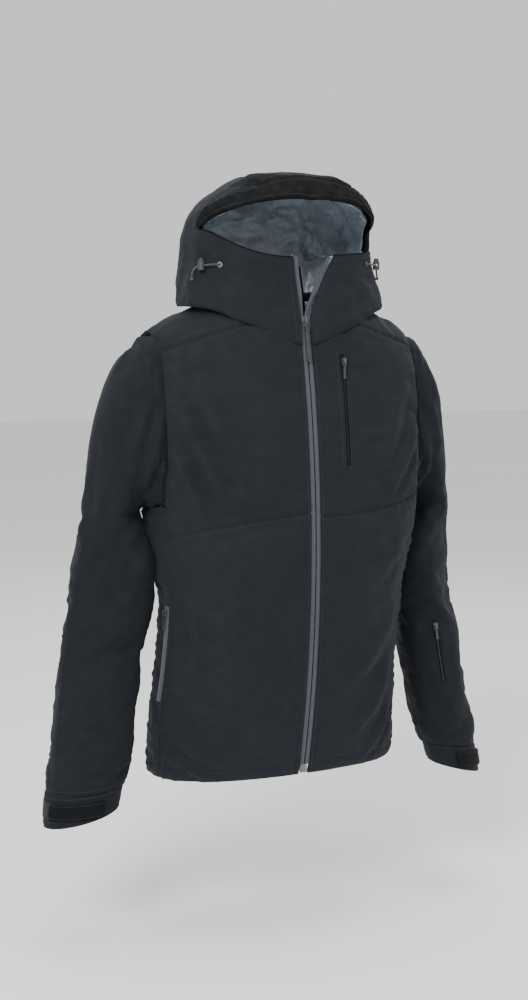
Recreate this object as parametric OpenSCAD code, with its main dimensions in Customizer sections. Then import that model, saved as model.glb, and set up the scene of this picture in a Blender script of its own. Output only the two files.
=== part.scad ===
// Insulated ski jacket with a fixed hood, worn shape, hood up and the front zip a little open.
// The front faces -Y, the wearer's right is -X and +Z is up. Heights count from the base of the neck.

/* [Body] */
// Length from the base of the neck down to the hem
body_len = 740; // [730:5:760]
// Half of the width across the chest
chest_half = 238; // [236:1:242]
// Half of the width at the waist
waist_half = 200; // [194:1:203]
// Half of the width at the hem
hem_half = 206; // [200:1:210]
// How far the hem swings towards the wearer's right
hem_sway = 9; // [0:1:10]
// How far the front bows out between the hem and the top of the zip
front_bow = 42; // [30:1:50]
// Distance from the middle plane to the furthest point of the front
front_reach = 128; // [120:1:134]
// Thickness of the padded outer panels
shell_t = 6; // [5:0.5:7]
// Thickness of the body lining
lining_t = 2; // [1.5:0.5:2.5]

/* [Sleeves] */
// Height of the elbow, below the base of the neck
elbow_drop = 450; // [440:1:460]
// Height of the seam of the cuff, below the base of the neck
cuff_drop = 745; // [740:1:750]
// Length of the cuff band
cuff_len = 43; // [38:1:46]
// Thickness of the padded sleeves
sleeve_t = 8; // [6:0.5:9]

/* [Hood] */
// Half of the width of the hood
hood_half = 152; // [146:1:156]
// Height of the hood's crown over the base of the neck
hood_top = 192; // [188:1:196]
// Thickness of the padded hood
hood_t = 8; // [6:0.5:9]

/* [Front zip] */
// Height at which the slider is parked, below the base of the neck
slider_drop = 40; // [38:1:44]
// How far the right edge of the open collar stands from the middle
open_right = 4; // [2:1:10]
// How far the left edge of the open collar stands from the middle
open_left = 46; // [30:1:50]
// Width of the slit between the two rows of the closed zip
zip_slit = 1.6; // [1.5:0.1:1.8]

/* [Pockets] */
// Length of the chest pocket's zip
chest_zip_len = 170; // [150:5:180]
// Length of each hand pocket's zip
hand_zip_len = 150; // [130:5:160]
// Length of the sleeve pocket's zip
pass_zip_len = 105; // [90:5:110]

/* [Hidden] */

black_shell = "#22252a";
black_trim = "#131416";
grey_lining = "#59626c";
grey_zip = "#3f464d";
gunmetal = "#34383c";
olive = "#23241d";

left = 1;
right = -1;
gap = 0.3;
lining_gap = 1.6;
tip_gap = 0.9;

// Heights, all from the base of the neck
hem_z = -body_len;
slider_z = -slider_drop;
collar_z = -75;
armpit_z = -326;
elbow_z = -elbow_drop;
cuff_z = -cuff_drop;
crown_z = 140;

// The front's middle line is an arc in the plane x = 0, so that the slider runs on a true circle
arc_half = (slider_z - hem_z) / 2;
arc_z = (slider_z + hem_z) / 2;
arc_r = (arc_half * arc_half + front_bow * front_bow) / (2 * front_bow);
arc_y = arc_r - front_reach;

// Outline of the body: half width and back line by height
body_power = 0.8;
side_line = [
    [hem_z, hem_half], [-650, hem_half - 1], [-560, waist_half], [-460, waist_half + 1], [-400, 210],
    [armpit_z, 223], [-240, chest_half], [-150, chest_half], [-100, 232], [-72, 222], [-55, 212],
    [-44, 193], [-32, 168], [-20, 143], [-8, 118], [2, 98], [12, 82]
];
back_line = [
    [hem_z, 118], [-560, 112], [-450, 108], [-250, 120], [-120, 116], [-60, 108], [-20, 95], [8, 80]
];
sway_line = [[hem_z, hem_sway], [-640, hem_sway], [-470, 0]];
arm_x = 214;
ledge = 16;

// Outline of the collar and hood: half width, front line and back line by height
hood_line = [
    [-75, [hood_half - 16, -97, 88]], [-50, [hood_half + 2, -93, 92]], [-20, [hood_half + 12, -87, 97]],
    [5, [hood_half + 11, -82, 108]], [35, [hood_half + 5, -76, 118]], [62, [hood_half - 1, -75, 123]],
    [95, [hood_half - 4, -90, 124]], [120, [hood_half - 10, -107, 120]], [140, [hood_half - 25, -114, 110]],
    [158, [hood_half - 47, -109, 91]], [174, [hood_half - 72, -94, 69]],
    [hood_top - 7, [52, -64, 46]], [hood_top, [18, -30, 10]]
];
hood_taper = 0.1;
neck_edge = [[0, collar_z], [27, -44], [45, -27], [62, -20], [90, -17], [135, -12], [180, -2]];

// The hood tips about this line, and meets the collar on a cylinder round it
tip_y = 20;
tip_z = -15;
tip_r = 118;
side_phi = 75;

// Sleeve head: lower point, upper point, middle and half depth of each ring, from the armhole out
head_rings = [
    [[216.5, -316], [216.5, -56], 8, 66], [[219, -317], [236, -67], 9, 67],
    [[223, -318], [257, -90], 11, 66], [[227, -318], [275, -128], 14, 64],
    [[230, -319], [291, -180], 17, 62], [[232, -321], [305, -250], 21, 58],
    [[233, armpit_z], [318, armpit_z], 25, 55]
];
// Sleeve below the armpit: inner side, outer side and middle depth by height
arm_line = [
    [-805, [284, 388, 6]], [cuff_z, [270, 380, 14]], [-700, [256, 373, 20]], [-620, [242, 362, 30]],
    [-545, [230, 351, 35]], [-470, [216, 337, 35]], [-400, [220, 328, 31]], [armpit_z, [233, 318, 25]]
];
arm_depth = [[-805, 44], [cuff_z, 48], [-640, 53], [elbow_z, 54], [armpit_z, 55]];
arm_skew = 18;
elbow_y = 35;
elbow_r = 61;

// Zip parts
tape_d = 1.0;
tape_t = 1.3;
tape_w = 7.4;
coil_r = 1.5;
coil_x = 3.2;
coil_d = 4.0;
slider_len = 15;
slider_w = 11;

// Cord locks: side of the collar and height
lock_spots = [[right, 44], [left, 50]];

function mix(a, b, t) = a + (b - a) * t;
function ease(t) = t * t * (3 - 2 * t);
function spow(v, p) = sign(v) * pow(abs(v), p);
function backwards(list) = [for (i = [len(list) - 1:-1:0]) list[i]];

// Smooth curve through a table of [place, value], held level past both ends
function interval(t, x, i = 0) = (i >= len(t) - 2 || x <= t[i + 1][0]) ? i : interval(t, x, i + 1);
function slope(t, i) =
    let (a = max(i - 1, 0), b = min(i + 1, len(t) - 1))
    (t[b][1] - t[a][1]) / (t[b][0] - t[a][0]);
function curve(t, x) =
    let (
        i = interval(t, x),
        h = t[i + 1][0] - t[i][0],
        s = min(1, max(0, (x - t[i][0]) / h)),
        s2 = s * s,
        s3 = s2 * s
    )
    (2 * s3 - 3 * s2 + 1) * t[i][1] + (s3 - 2 * s2 + s) * h * slope(t, i)
        + (3 * s2 - 2 * s3) * t[i + 1][1] + (s3 - s2) * h * slope(t, i + 1);

// Point on a rounded section at angle phi, counted from the front towards the wearer's left
function section_pt(phi, z, d, a, f, r) =
    let (m = (f + r) / 2, b = (r - f) / 2 - d)
    [(a - d) * spow(sin(phi), body_power), m - b * spow(cos(phi), body_power), z];
function zip_y(z) = arc_y - sqrt(arc_r * arc_r - (z - arc_z) * (z - arc_z));
function half_w(z) = curve(side_line, z);
function body_pt(phi, z, d) =
    let (sway = (phi > 180 || phi < 0 ? 1 : -1) * curve(sway_line, z))
    section_pt(phi, z, d, half_w(z) + sway, zip_y(z), curve(back_line, z));
function hood_pt(phi, z, d) =
    let (s = curve(hood_line, z), p = section_pt(phi, z, d, s[0], s[1], s[2]))
    [p[0] * (1 + hood_taper * cos(phi)), p[1], p[2]];

// Angle at which a section of half width a reaches x
function reach_phi(x, a) = asin(min(1, pow(x / a, 1 / body_power)));
function arm_phi(z, d) =
    let (a = reach_phi(arm_x, max(half_w(z) - d, 1)))
    z < armpit_z - ledge ? 90 : mix(90, a, min(1, (z - armpit_z + ledge) / ledge));

// How far each edge of the open zip stands from the middle, and the height where the opening ends
apex_z = slider_z + 7;
opening_top = 60;
function open_x(side, z) =
    let (t = max(0, (z - apex_z) / (opening_top - apex_z)))
    (side == left ? open_left : open_right) * pow(t, 1.25);
function collar_phi(side, z) = reach_phi(tape_w + 0.9 + open_x(side, z), curve(hood_line, z)[0]);

// Height where the surface at angle phi and depth d meets the cylinder of radius r round the tipping line
function tip_meet(phi, d, r, z = 60, n = 6) =
    n == 0 ? z
    : let (y = hood_pt(phi, z, d)[1] - tip_y)
      tip_meet(phi, d, r, tip_z + sqrt(max(0, r * r - y * y)), n - 1);

// Ring of a sleeve at depth d: a tilted ring of the head, or a level one of the arm
turn = 24;
function ring_angles() = [for (i = [0:turn - 1]) 360 * i / turn];
function head_ring(h, d) =
    let (
        mid = (h[0] + h[1]) / 2,
        arm = (h[1] - h[0]) / 2,
        reach = arm * (1 - d / norm(arm))
    )
    [for (a = ring_angles())
        [mid[0] + reach[0] * cos(a), h[2] + (h[3] - d) * sin(a), mid[1] + reach[1] * cos(a)]];
function arm_pt(a, z, d) =
    let (
        s = curve(arm_line, z),
        half = (s[1] - s[0]) / 2
    )
    [
        (s[0] + s[1]) / 2 + (half - d) * cos(a),
        s[2] + (curve(arm_depth, z) - d) * sin(a) + arm_skew * cos(a) * ease(min(1, (armpit_z - z) / 80)),
        z
    ];
function elbow_top(a, z, d, r) =
    let (y = arm_pt(a, z, d)[1] - elbow_y)
    elbow_z + (y < 0 ? r : sqrt(r * r - y * y));
function knuckle_top(a, z, d, r) =
    let (y = arm_pt(a, z, d)[1] - elbow_y)
    elbow_z + sqrt(r * r - y * y);

// Two triangles for each four-sided cell
function cell(a, b, c, d) = [[a, b, c], [a, c, d]];

// Closed panel between two grids of points, rows from low to high and each row from front to back
module slab(outer, inner) {
    rows = len(outer);
    cols = len(outer[0]);
    count = rows * cols;
    function at(i, j, k) = k * count + j * cols + i;
    polyhedron(
        [each [for (row = outer) each row], each [for (row = inner) each row]],
        [
            for (j = [0:rows - 2], i = [0:cols - 2])
                each cell(at(i, j, 0), at(i, j + 1, 0), at(i + 1, j + 1, 0), at(i + 1, j, 0)),
            for (j = [0:rows - 2], i = [0:cols - 2])
                each cell(at(i, j, 1), at(i + 1, j, 1), at(i + 1, j + 1, 1), at(i, j + 1, 1)),
            for (i = [0:cols - 2])
                each cell(at(i, 0, 0), at(i + 1, 0, 0), at(i + 1, 0, 1), at(i, 0, 1)),
            for (i = [0:cols - 2], j = rows - 1)
                each cell(at(i + 1, j, 0), at(i, j, 0), at(i, j, 1), at(i + 1, j, 1)),
            for (j = [0:rows - 2])
                each cell(at(0, j + 1, 0), at(0, j, 0), at(0, j, 1), at(0, j + 1, 1)),
            for (j = [0:rows - 2], i = cols - 1)
                each cell(at(i, j, 0), at(i, j + 1, 0), at(i, j + 1, 1), at(i, j, 1))
        ]
    );
}

// Closed tube wall between outer and inner rings, rows from low to high, rings closed on themselves
module tube(outer, inner) {
    rows = len(outer);
    cols = len(outer[0]);
    count = rows * cols;
    function at(i, j, k) = k * count + j * cols + i % cols;
    polyhedron(
        [each [for (row = outer) each row], each [for (row = inner) each row]],
        [
            for (j = [0:rows - 2], i = [0:cols - 1])
                each cell(at(i, j, 0), at(i, j + 1, 0), at(i + 1, j + 1, 0), at(i + 1, j, 0)),
            for (j = [0:rows - 2], i = [0:cols - 1])
                each cell(at(i, j, 1), at(i + 1, j, 1), at(i + 1, j + 1, 1), at(i, j + 1, 1)),
            for (i = [0:cols - 1])
                each cell(at(i, 0, 0), at(i + 1, 0, 0), at(i + 1, 0, 1), at(i, 0, 1)),
            for (i = [0:cols - 1], j = rows - 1)
                each cell(at(i + 1, j, 0), at(i, j, 0), at(i, j, 1), at(i + 1, j, 1))
        ]
    );
}

// Closed cap: rings from low to high that end in a tip above each
module cap(outer, inner, outer_tip, inner_tip) {
    rows = len(outer);
    cols = len(outer[0]);
    count = rows * cols;
    tip = 2 * count;
    function at(i, j, k) = k * count + j * cols + i % cols;
    polyhedron(
        [each [for (row = outer) each row], each [for (row = inner) each row], outer_tip, inner_tip],
        [
            for (j = [0:rows - 2], i = [0:cols - 1])
                each cell(at(i, j, 0), at(i, j + 1, 0), at(i + 1, j + 1, 0), at(i + 1, j, 0)),
            for (j = [0:rows - 2], i = [0:cols - 1])
                each cell(at(i, j, 1), at(i + 1, j, 1), at(i + 1, j + 1, 1), at(i, j + 1, 1)),
            for (i = [0:cols - 1])
                each cell(at(i, 0, 0), at(i + 1, 0, 0), at(i + 1, 0, 1), at(i, 0, 1)),
            for (i = [0:cols - 1], j = rows - 1)
                [at(i, j, 0), tip, at(i + 1, j, 0)],
            for (i = [0:cols - 1], j = rows - 1)
                [at(i, j, 1), at(i + 1, j, 1), tip + 1]
        ]
    );
}

// Solid bar of rings, closed at both ends by a fan
module bar(rings) {
    rows = len(rings);
    cols = len(rings[0]);
    polyhedron(
        [for (row = rings) each row],
        [
            for (j = [0:rows - 2], i = [0:cols - 1])
                let (n = (i + 1) % cols)
                each cell(j * cols + i, (j + 1) * cols + i, (j + 1) * cols + n, j * cols + n),
            for (i = [1:cols - 2]) [0, i, i + 1],
            for (i = [1:cols - 2], last = (rows - 1) * cols) [last, last + i + 1, last + i]
        ]
    );
}

module on_side(side) mirror([side == left ? 0 : 1, 0, 0]) children();

// Panel of the body for one side; low and high give its seams by u, edge and rim its ends by height.
// Angles on the wearer's right are negative, and its rows run the other way
module body_panel(side, nu, nv, low, high, edge, rim, d0 = 0, d1 = shell_t) {
    grid = [for (d = [d0, d1])
        [for (j = [0:nv])
            [for (i = [0:nu])
                let (u = (side == left ? i : nu - i) / nu, z = mix(low(u), high(u), j / nv))
                body_pt(side * mix(edge(z, d), rim(z, d), u), z, d)]]];
    slab(grid[0], grid[1]);
}

// Seams of the front
front_edge = function(z, d) reach_phi(tape_w + 0.9, half_w(z) - d);
side_seam = 78;
seam_step = 0.14;
chest_seam_right = function(u) -326 - 40 * u;
chest_seam_left = function(u) -333 + 40 * pow(u, 1.6);
yoke_front_line = [[0, collar_z], [0.3, -48], [0.55, -38], [1, -66]];
yoke_front = function(u) curve(yoke_front_line, u);
hem_line = function(u) hem_z;

module front_panel(side) {
    seam = side == left ? chest_seam_left : chest_seam_right;
    color(black_shell)
    body_panel(
        side, 8, 10, hem_line, function(u) seam(u) - gap, front_edge,
        function(z, d) min(side_seam, arm_phi(z, d)) - seam_step
    );
}

module front_right() front_panel(right);
module front_left() front_panel(left);

module chest_panel(side) {
    seam = side == left ? chest_seam_left : chest_seam_right;
    color(black_shell)
    body_panel(
        side, 8, 9, seam, function(u) yoke_front(u) - gap, front_edge,
        function(z, d) min(side_seam, arm_phi(z, d)) - seam_step
    );
}

module chest_right() chest_panel(right);
module chest_left() chest_panel(left);

module side_panel(side) {
    color(black_shell)
    body_panel(
        side, 3, 9, hem_line, function(u) armpit_z - 3, function(z, d) side_seam,
        function(z, d) 180 - side_seam
    );
}

module side_right() side_panel(right);
module side_left() side_panel(left);

// The yoke covers both shoulders: its lower edge runs from the collar over the armhole tips to the back
yoke_phi = 45;
yoke_back_z = -150;
yoke_low_line = [[yoke_phi, -36], [90, -66], [100, -95], [112, yoke_back_z], [180, yoke_back_z]];
yoke_high_line = [[yoke_phi, -31], [90, -10], [135, -3], [180, 4]];

module yoke_half(side) {
    nu = 11;
    nv = 4;
    grid = [for (d = [0, shell_t])
        [for (j = [0:nv])
            [for (i = [0:nu])
                let (
                    q = mix(yoke_phi, 180 - seam_step, (side == left ? i : nu - i) / nu),
                    z = mix(max(yoke_back_z, curve(yoke_low_line, q)), curve(yoke_high_line, q), j / nv),
                    r = q > 90 ? max(q, 180 - arm_phi(z, d)) : min(q, arm_phi(z, d))
                )
                body_pt(side == left ? r : 360 - r, z, d)]]];
    color(black_shell) slab(grid[0], grid[1]);
}

module yoke_right() yoke_half(right);
module yoke_left() yoke_half(left);

module back_panel() {
    nu = 16;
    nv = 12;
    grid = [for (d = [0, shell_t])
        [for (j = [0:nv])
            [for (i = [0:nu])
                let (
                    u = 2 * i / nu - 1,
                    z = mix(hem_z, yoke_back_z - gap, j / nv),
                    reach = min(side_seam, arm_phi(z, d)) - seam_step
                )
                body_pt(180 + u * reach, z, d)]]];
    color(black_shell) slab(grid[0], grid[1]);
}

module body_lining() {
    d0 = shell_t + lining_gap;
    nv = 10;
    nu = 13;
    grid = [for (d = [d0, d0 + lining_t])
        [for (j = [0:nv])
            [for (i = [-nu:nu])
                let (z = mix(hem_z + 12, armpit_z - 8, j / nv), start = reach_phi(34, half_w(z) - d))
                body_pt(180 + (180 - start) * i / nu, z, d)]]];
    color(grey_lining) slab(grid[0], grid[1]);
}

module powder_skirt() {
    nv = 3;
    nu = 12;
    grid = [for (d = [0, 1.2])
        [for (j = [0:nv])
            [for (i = [-nu:nu])
                let (t = j / nv, z = mix(-650, -568, t))
                body_pt(180 + 168 * i / nu, z, 10.5 + 9 * sin(180 * t) + 4 * (1 - t) + d)]]];
    color(black_trim) slab(grid[0], grid[1]);
}

// Collar half between the open zip and the hood's side
collar_top_right = function(u) 56 + 40 * ease(u);
collar_top_left = function(u) 60 + 12 * u;

module collar_half(side, d0, d1) {
    top = side == left ? collar_top_left : collar_top_right;
    nu = 7;
    nv = 7;
    grid = [for (d = [d0, d1])
        [for (j = [0:nv])
            [for (i = [0:nu])
                let (u = i / nu, z = mix(curve(neck_edge, u * side_phi), top(u), j / nv))
                hood_pt(mix(collar_phi(side, z), side_phi - 9 * seam_step, u), z, d)]]];
    on_side(side) slab(grid[0], grid[1]);
}

module collar_right() color(black_shell) collar_half(right, 0, hood_t);
module collar_left() color(black_shell) collar_half(left, 0, hood_t);

module collar_band(d0, d1, lift) {
    grid = [for (d = [d0, d1])
        [for (j = [0:4])
            [for (i = [-11:11])
                let (
                    p = 180 + (180 - side_phi) * i / 11,
                    q = p > 180 ? 360 - p : p
                )
                hood_pt(p, mix(curve(neck_edge, q) + lift, tip_meet(q, d, tip_r - tip_gap), j / 4), d)]]];
    slab(grid[0], grid[1]);
}

module collar_back() color(black_shell) collar_band(0, hood_t, 0);

module collar_lining() {
    d0 = hood_t + 4 * gap;
    color(grey_lining) {
        collar_band(d0, d0 + lining_t, 4);
        collar_half(right, d0, d0 + lining_t);
        collar_half(left, d0, d0 + lining_t);
    }
}

// Hood side between the opening and the middle of the back
module hood_half_shell(d0, d1) {
    nu = 8;
    nv = 5;
    grid = [for (d = [d0, d1])
        [for (j = [0:nv])
            [for (i = [0:nu])
                let (
                    p = mix(side_phi, 180 - seam_step / 2, i / nu),
                    z = mix(tip_meet(p, d, tip_r + tip_gap), crown_edge(p), j / nv)
                )
                hood_pt(p, z, d)]]];
    slab(grid[0], grid[1]);
}

function crown_edge(p) = crown_z + (p < 90 ? 32 * ease((90 - p) / 90) : 0);
module hood_right() color(black_shell) on_side(right) hood_half_shell(0, hood_t);
module hood_left() color(black_shell) on_side(left) hood_half_shell(0, hood_t);

module crown_shell(d0, d1, lift) {
    nu = 28;
    nv = 4;
    grid = [for (d = [d0, d1])
        [for (j = [0:nv])
            [for (i = [0:nu - 1])
                let (
                    p = 360 * i / nu,
                    q = p > 180 ? 360 - p : p,
                    z = mix(crown_edge(q) + lift, hood_top, sin(90 * j / nv)) - d * sin(90 * j / nv)
                )
                hood_pt(p, z + d * sin(90 * j / nv), d * cos(70 * j / nv)) - [0, 0, d * sin(90 * j / nv)]]]];
    cap(grid[0], grid[1], [0, -10, hood_top + 1 - d0], [0, -10, hood_top + 1 - d1]);
}

module hood_crown() color(black_shell) crown_shell(0, hood_t, 2 * gap);

brim_out = 3;
function brim_low(q) = 142 - 39 * pow(q / side_phi, 2);
module hood_brim() {
    nu = 16;
    grid = [for (d = [-brim_out, hood_t])
        [for (j = [0:4])
            [for (i = [0:nu])
                let (p = (2 * i / nu - 1) * (side_phi - seam_step), q = abs(p))
                hood_pt(p, mix(brim_low(q), crown_edge(q), j / 4), d * (d < 0 ? cos(q) : 1))]]];
    color(black_trim) slab(grid[0], grid[1]);
}

module hood_lining() {
    d0 = hood_t + gap;
    color(grey_lining) {
        on_side(right) hood_half_shell(d0, d0 + lining_t);
        on_side(left) hood_half_shell(d0, d0 + lining_t);
        crown_shell(d0 + 1, d0 + 1 + lining_t, gap);
    }
}

// Loop for hanging the jacket on a hook, inside the back of the collar
loop_r = 11;
loop_w = 4;
loop_y = 70;
loop_z = -14;
module hang_loop() {
    color(black_trim)
    translate([0, loop_y, loop_z])
    rotate([90, 0, 0])
    difference() {
        union() {
            cylinder(h = loop_w, r = loop_r + 2.5, center = true, $fn = 64);
            translate([0, loop_r + 2, 0]) cube([40, 7, loop_w], center = true);
        }
        cylinder(h = loop_w + 2, r = loop_r, center = true, $fn = 64);
    }
}

// Strips that follow the front's middle line: x range and depth range by height
module zip_strip(x0, x1, d0, d1, z0, z1, side, nv = 28) {
    grid = [for (d = [d0, d1])
        [for (j = [0:nv])
            [for (x = [x0, x1])
                let (z = mix(z0, z1, j / nv), o = open_x(side, z))
                [x + o, zip_y(z) + d + o * 0.12, z]]]];
    on_side(side) slab(grid[0], grid[1]);
}

zip_low = hem_z + 6;
module zip_tape(side) {
    color(grey_zip)
    zip_strip(zip_slit / 2, tape_w, tape_d, tape_d + tape_t, zip_low + 12, opening_top - 2, side);
}

module zip_tape_right() zip_tape(right);
module zip_tape_left() zip_tape(left);

module zip_coil(side) {
    nv = 34;
    rings = [for (j = [0:nv])
        let (z = mix(zip_low + 12, opening_top - 6, j / nv), o = open_x(side, z))
        [for (a = [0:60:300])
            [coil_x + o + coil_r * cos(a), zip_y(z) + coil_d + o * 0.12 - coil_r * sin(a), z]]];
    color(black_trim) on_side(side) bar([for (r = rings) backwards(r)]);
}

module zip_coil_right() zip_coil(right);
module zip_coil_left() zip_coil(left);

// Bottom box with its pin, and a top stop on each tape
module zip_ends() {
    color(gunmetal) {
        translate([0, zip_y(zip_low + 4) + 3, zip_low + 4]) {
            difference() {
                cube([11, 5, 13], center = true);
                translate([-2.6, 0, 1]) cylinder(h = 14, r = 1.35, center = true, $fn = 32);
            }
            translate([-2.6, 0, 1.5]) cylinder(h = 13, r = 1.1, center = true, $fn = 32);
        }
        for (side = [left, right])
            zip_strip(zip_slit / 2, 5, tape_d, tape_d + 3, opening_top - 1.5, opening_top + 1.5, side, 2);
    }
}

module storm_flap() {
    color(black_trim)
    on_side(right)
    slab(
        [for (j = [0:24]) [for (x = [-26, -13, 0, 13, 24])
            let (z = mix(hem_z + 14, 44, j / 24), w = z > apex_z ? 0.35 : 1)
            [x < 0 ? x * w : x, zip_y(z) + 9.5 + abs(x) * 0.02 + (x > 13 && z > -80 ? 2.5 : 0), z]]],
        [for (j = [0:24]) [for (x = [-26, -13, 0, 13, 24])
            let (z = mix(hem_z + 14, 44, j / 24), w = z > apex_z ? 0.35 : 1)
            [x < 0 ? x * w : x, zip_y(z) + 11.2 + abs(x) * 0.02 + (x > 13 && z > -80 ? 2.5 : 0), z]]]
    );
}

// Slider body: front and back plates joined by a neck that runs in the slit. Drawn about its own middle,
// with +Z up the zip and the front plate towards -Y
module slider_plate(w, len, t) {
    rotate([90, 0, 0])
    linear_extrude(height = t, center = true)
    union() {
        polygon([[-w * 0.34, -len / 2], [w * 0.34, -len / 2], [w / 2, len * 0.1], [w * 0.42, len / 2],
            [-w * 0.42, len / 2], [-w / 2, len * 0.1]]);
        circle(r = w * 0.36, $fn = 32);
    }
}

module slider_body(w, len, front_d, back_d) {
    t = 1.4;
    eye = 3.2;
    leg = 2.2;
    bar_t = 1.2;
    translate([0, front_d - t / 2, 0]) slider_plate(w, len, t);
    translate([0, back_d + t / 2, 0]) slider_plate(w, len, t);
    translate([0, (front_d + back_d) / 2, len * 0.34])
    cube([0.9, back_d - front_d + 0.4, 3.4], center = true);
    // Bridge that the pull hangs from
    for (z = [-len * 0.3, len * 0.3])
        translate([0, front_d - t - eye / 2, z]) cube([leg, eye + bar_t / 2, leg], center = true);
    translate([0, front_d - t - eye, 0]) cube([leg, bar_t, len * 0.6 + leg], center = true);
}

// The slider sits square to the front's arc
slider_y = zip_y(slider_z);
slider_lean = asin((slider_z - arc_z) / arc_r);
module at_slider() translate([0, slider_y, slider_z]) rotate([-slider_lean, 0, 0]) children();
module zip_slider() color(gunmetal) at_slider() slider_body(slider_w, slider_len, 0.2, 6.2);

// Pull: a long link through the bridge, and a moulded grip below it
pull_d = -2.5;
link_r = 4.6;
link_hole_r = 3.2;
link_top = -4.1;
link_low = -14;
grip_top = -18;
grip_low = -60;
module link_outline(r) {
    translate([0, link_top]) circle(r = r, $fn = 32);
    translate([0, link_low]) circle(r = r, $fn = 32);
    translate([-r, link_low]) square([2 * r, link_top - link_low]);
}

module zip_pull() {
    color(black_trim)
    at_slider()
    translate([0, pull_d, 0])
    rotate([90, 0, 0]) {
        linear_extrude(height = 1.4, center = true)
        difference() {
            union() {
                link_outline(link_r);
                translate([-2, grip_top - 4]) square([4, 5]);
            }
            link_outline(link_hole_r);
        }
        linear_extrude(height = 3.4, center = true)
        union() {
            translate([0, grip_top - 3]) circle(r = 2.7, $fn = 32);
            polygon([[-2.7, grip_top - 3], [2.7, grip_top - 3], [3.8, grip_low], [-3.8, grip_low]]);
            translate([0, grip_low]) circle(r = 3.8, $fn = 32);
        }
    }
}

// Pocket zip laid on the body: a flat band with its coil
module body_band(phi_of, z0, z1, w, d0, d1, nv = 8) {
    grid = [for (d = [d0, d1])
        [for (j = [0:nv])
            [for (k = [-1, 0, 1])
                let (
                    z = mix(z0, z1, j / nv),
                    c = body_pt(phi_of(z), z, 0),
                    n = body_pt(phi_of(z) + 1, z, 0),
                    t = (n - c) / norm(n - c),
                    out = [t[1], -t[0], 0]
                )
                c + t * k * w / 2 - out * d]]];
    slab(grid[0], grid[1]);
}

chest_zip_x = 57;
chest_zip_top = -88;
chest_zip_phi = function(z) reach_phi(chest_zip_x, half_w(z));
module chest_zip() {
    color(black_trim)
    body_band(chest_zip_phi, chest_zip_top - chest_zip_len, chest_zip_top, 11, -1.7, -gap);
}

hand_phi = 86;
hand_zip_top = -470;
module hand_zip(side) {
    color(grey_zip)
    body_band(function(z) side * hand_phi, hand_zip_top - hand_zip_len, hand_zip_top, 12, -2.0, -gap);
}

module hand_zip_right() hand_zip(right);
module hand_zip_left() hand_zip(left);

// Slider of a pocket zip: a low block with a bridge, drawn with +Z up and its front towards -Y.
// The pull's eye bar turns at small_eye, between the block and the bridge
small_eye = [0, -2.2, 0];
module small_slider() {
    cube([7, 2.2, 10], center = true);
    for (z = [-3.2, 3.2]) translate([0, -2.3, z]) cube([2, 2.8, 1.6], center = true);
    translate([0, -3.8, 0]) cube([2, 0.8, 8], center = true);
}

// Pull of a pocket zip: hangs from the bridge, drawn about its eye
module small_pull(len) {
    rotate([90, 0, 0])
    linear_extrude(height = 1.2, center = true)
    difference() {
        union() {
            translate([0, -3.4]) circle(r = 4, $fn = 32);
            translate([-2, -len]) square([4, len - 6.5]);
            translate([0, -len]) circle(r = 2.6, $fn = 32);
        }
        translate([0, -3.4]) circle(r = 2.9, $fn = 32);
    }
}

chest_slider_z = chest_zip_top - 12;
chest_slider_at = body_pt(chest_zip_phi(chest_slider_z), chest_slider_z, 0) + [1.1, -5.2, 0];
chest_turn = 10;
module chest_zip_slider() {
    color(gunmetal) translate(chest_slider_at) rotate([0, 0, chest_turn]) small_slider();
}

module chest_zip_pull() {
    color(black_trim)
    translate(chest_slider_at)
    rotate([0, 0, chest_turn])
    translate(small_eye)
    small_pull(24);
}

hand_slider_z = hand_zip_top - 10;
hand_turn = 84;
module at_hand_slider(side) {
    p = body_pt(side * hand_phi, hand_slider_z, 0);
    translate(p + [side * 4.9, -0.5, 0]) rotate([0, 0, side * hand_turn]) children();
}

module hand_zip_slider(side) color(gunmetal) at_hand_slider(side) small_slider();
module hand_zip_pull(side) color(black_trim) at_hand_slider(side) translate(small_eye) small_pull(24);

module hand_zip_slider_right() hand_zip_slider(right);
module hand_zip_slider_left() hand_zip_slider(left);
module hand_zip_pull_right() hand_zip_pull(right);
module hand_zip_pull_left() hand_zip_pull(left);

// Flat bags behind the hand pockets and the chest pocket
module bag(side, phi0, phi1, z0, z1) {
    d = shell_t + lining_t + 2 * lining_gap;
    grid = [for (t = [0, 1.6])
        [for (j = [0:4])
            [for (i = [0:4])
                let (u = (side == left ? i : 4 - i) / 4)
                body_pt(side * mix(phi0, phi1, u), mix(z0, z1, j / 4), d + t)]]];
    slab(grid[0], grid[1]);
}

module pocket_bags() {
    color(black_trim) {
        for (side = [left, right]) bag(side, 34, 84, -560, -430);
        bag(left, 20, 44, -300, -110);
    }
}

// Places on the collar
module at_collar(side, phi, z, d) {
    p = hood_pt(phi, z, d);
    q = hood_pt(phi + 1, z, d);
    on_side(side) translate(p) rotate([0, 0, atan2(q[1] - p[1], q[0] - p[0])]) children();
}

eyelet_phi = 44;
module eyelets() {
    color(gunmetal)
    for (s = lock_spots)
        at_collar(s[0], eyelet_phi, s[1], -1.4)
        rotate([90, 0, 0])
        difference() {
            cylinder(h = 1, r = 4.2, center = true, $fn = 48);
            cylinder(h = 2, r = 2.1, center = true, $fn = 48);
        }
}

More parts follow.
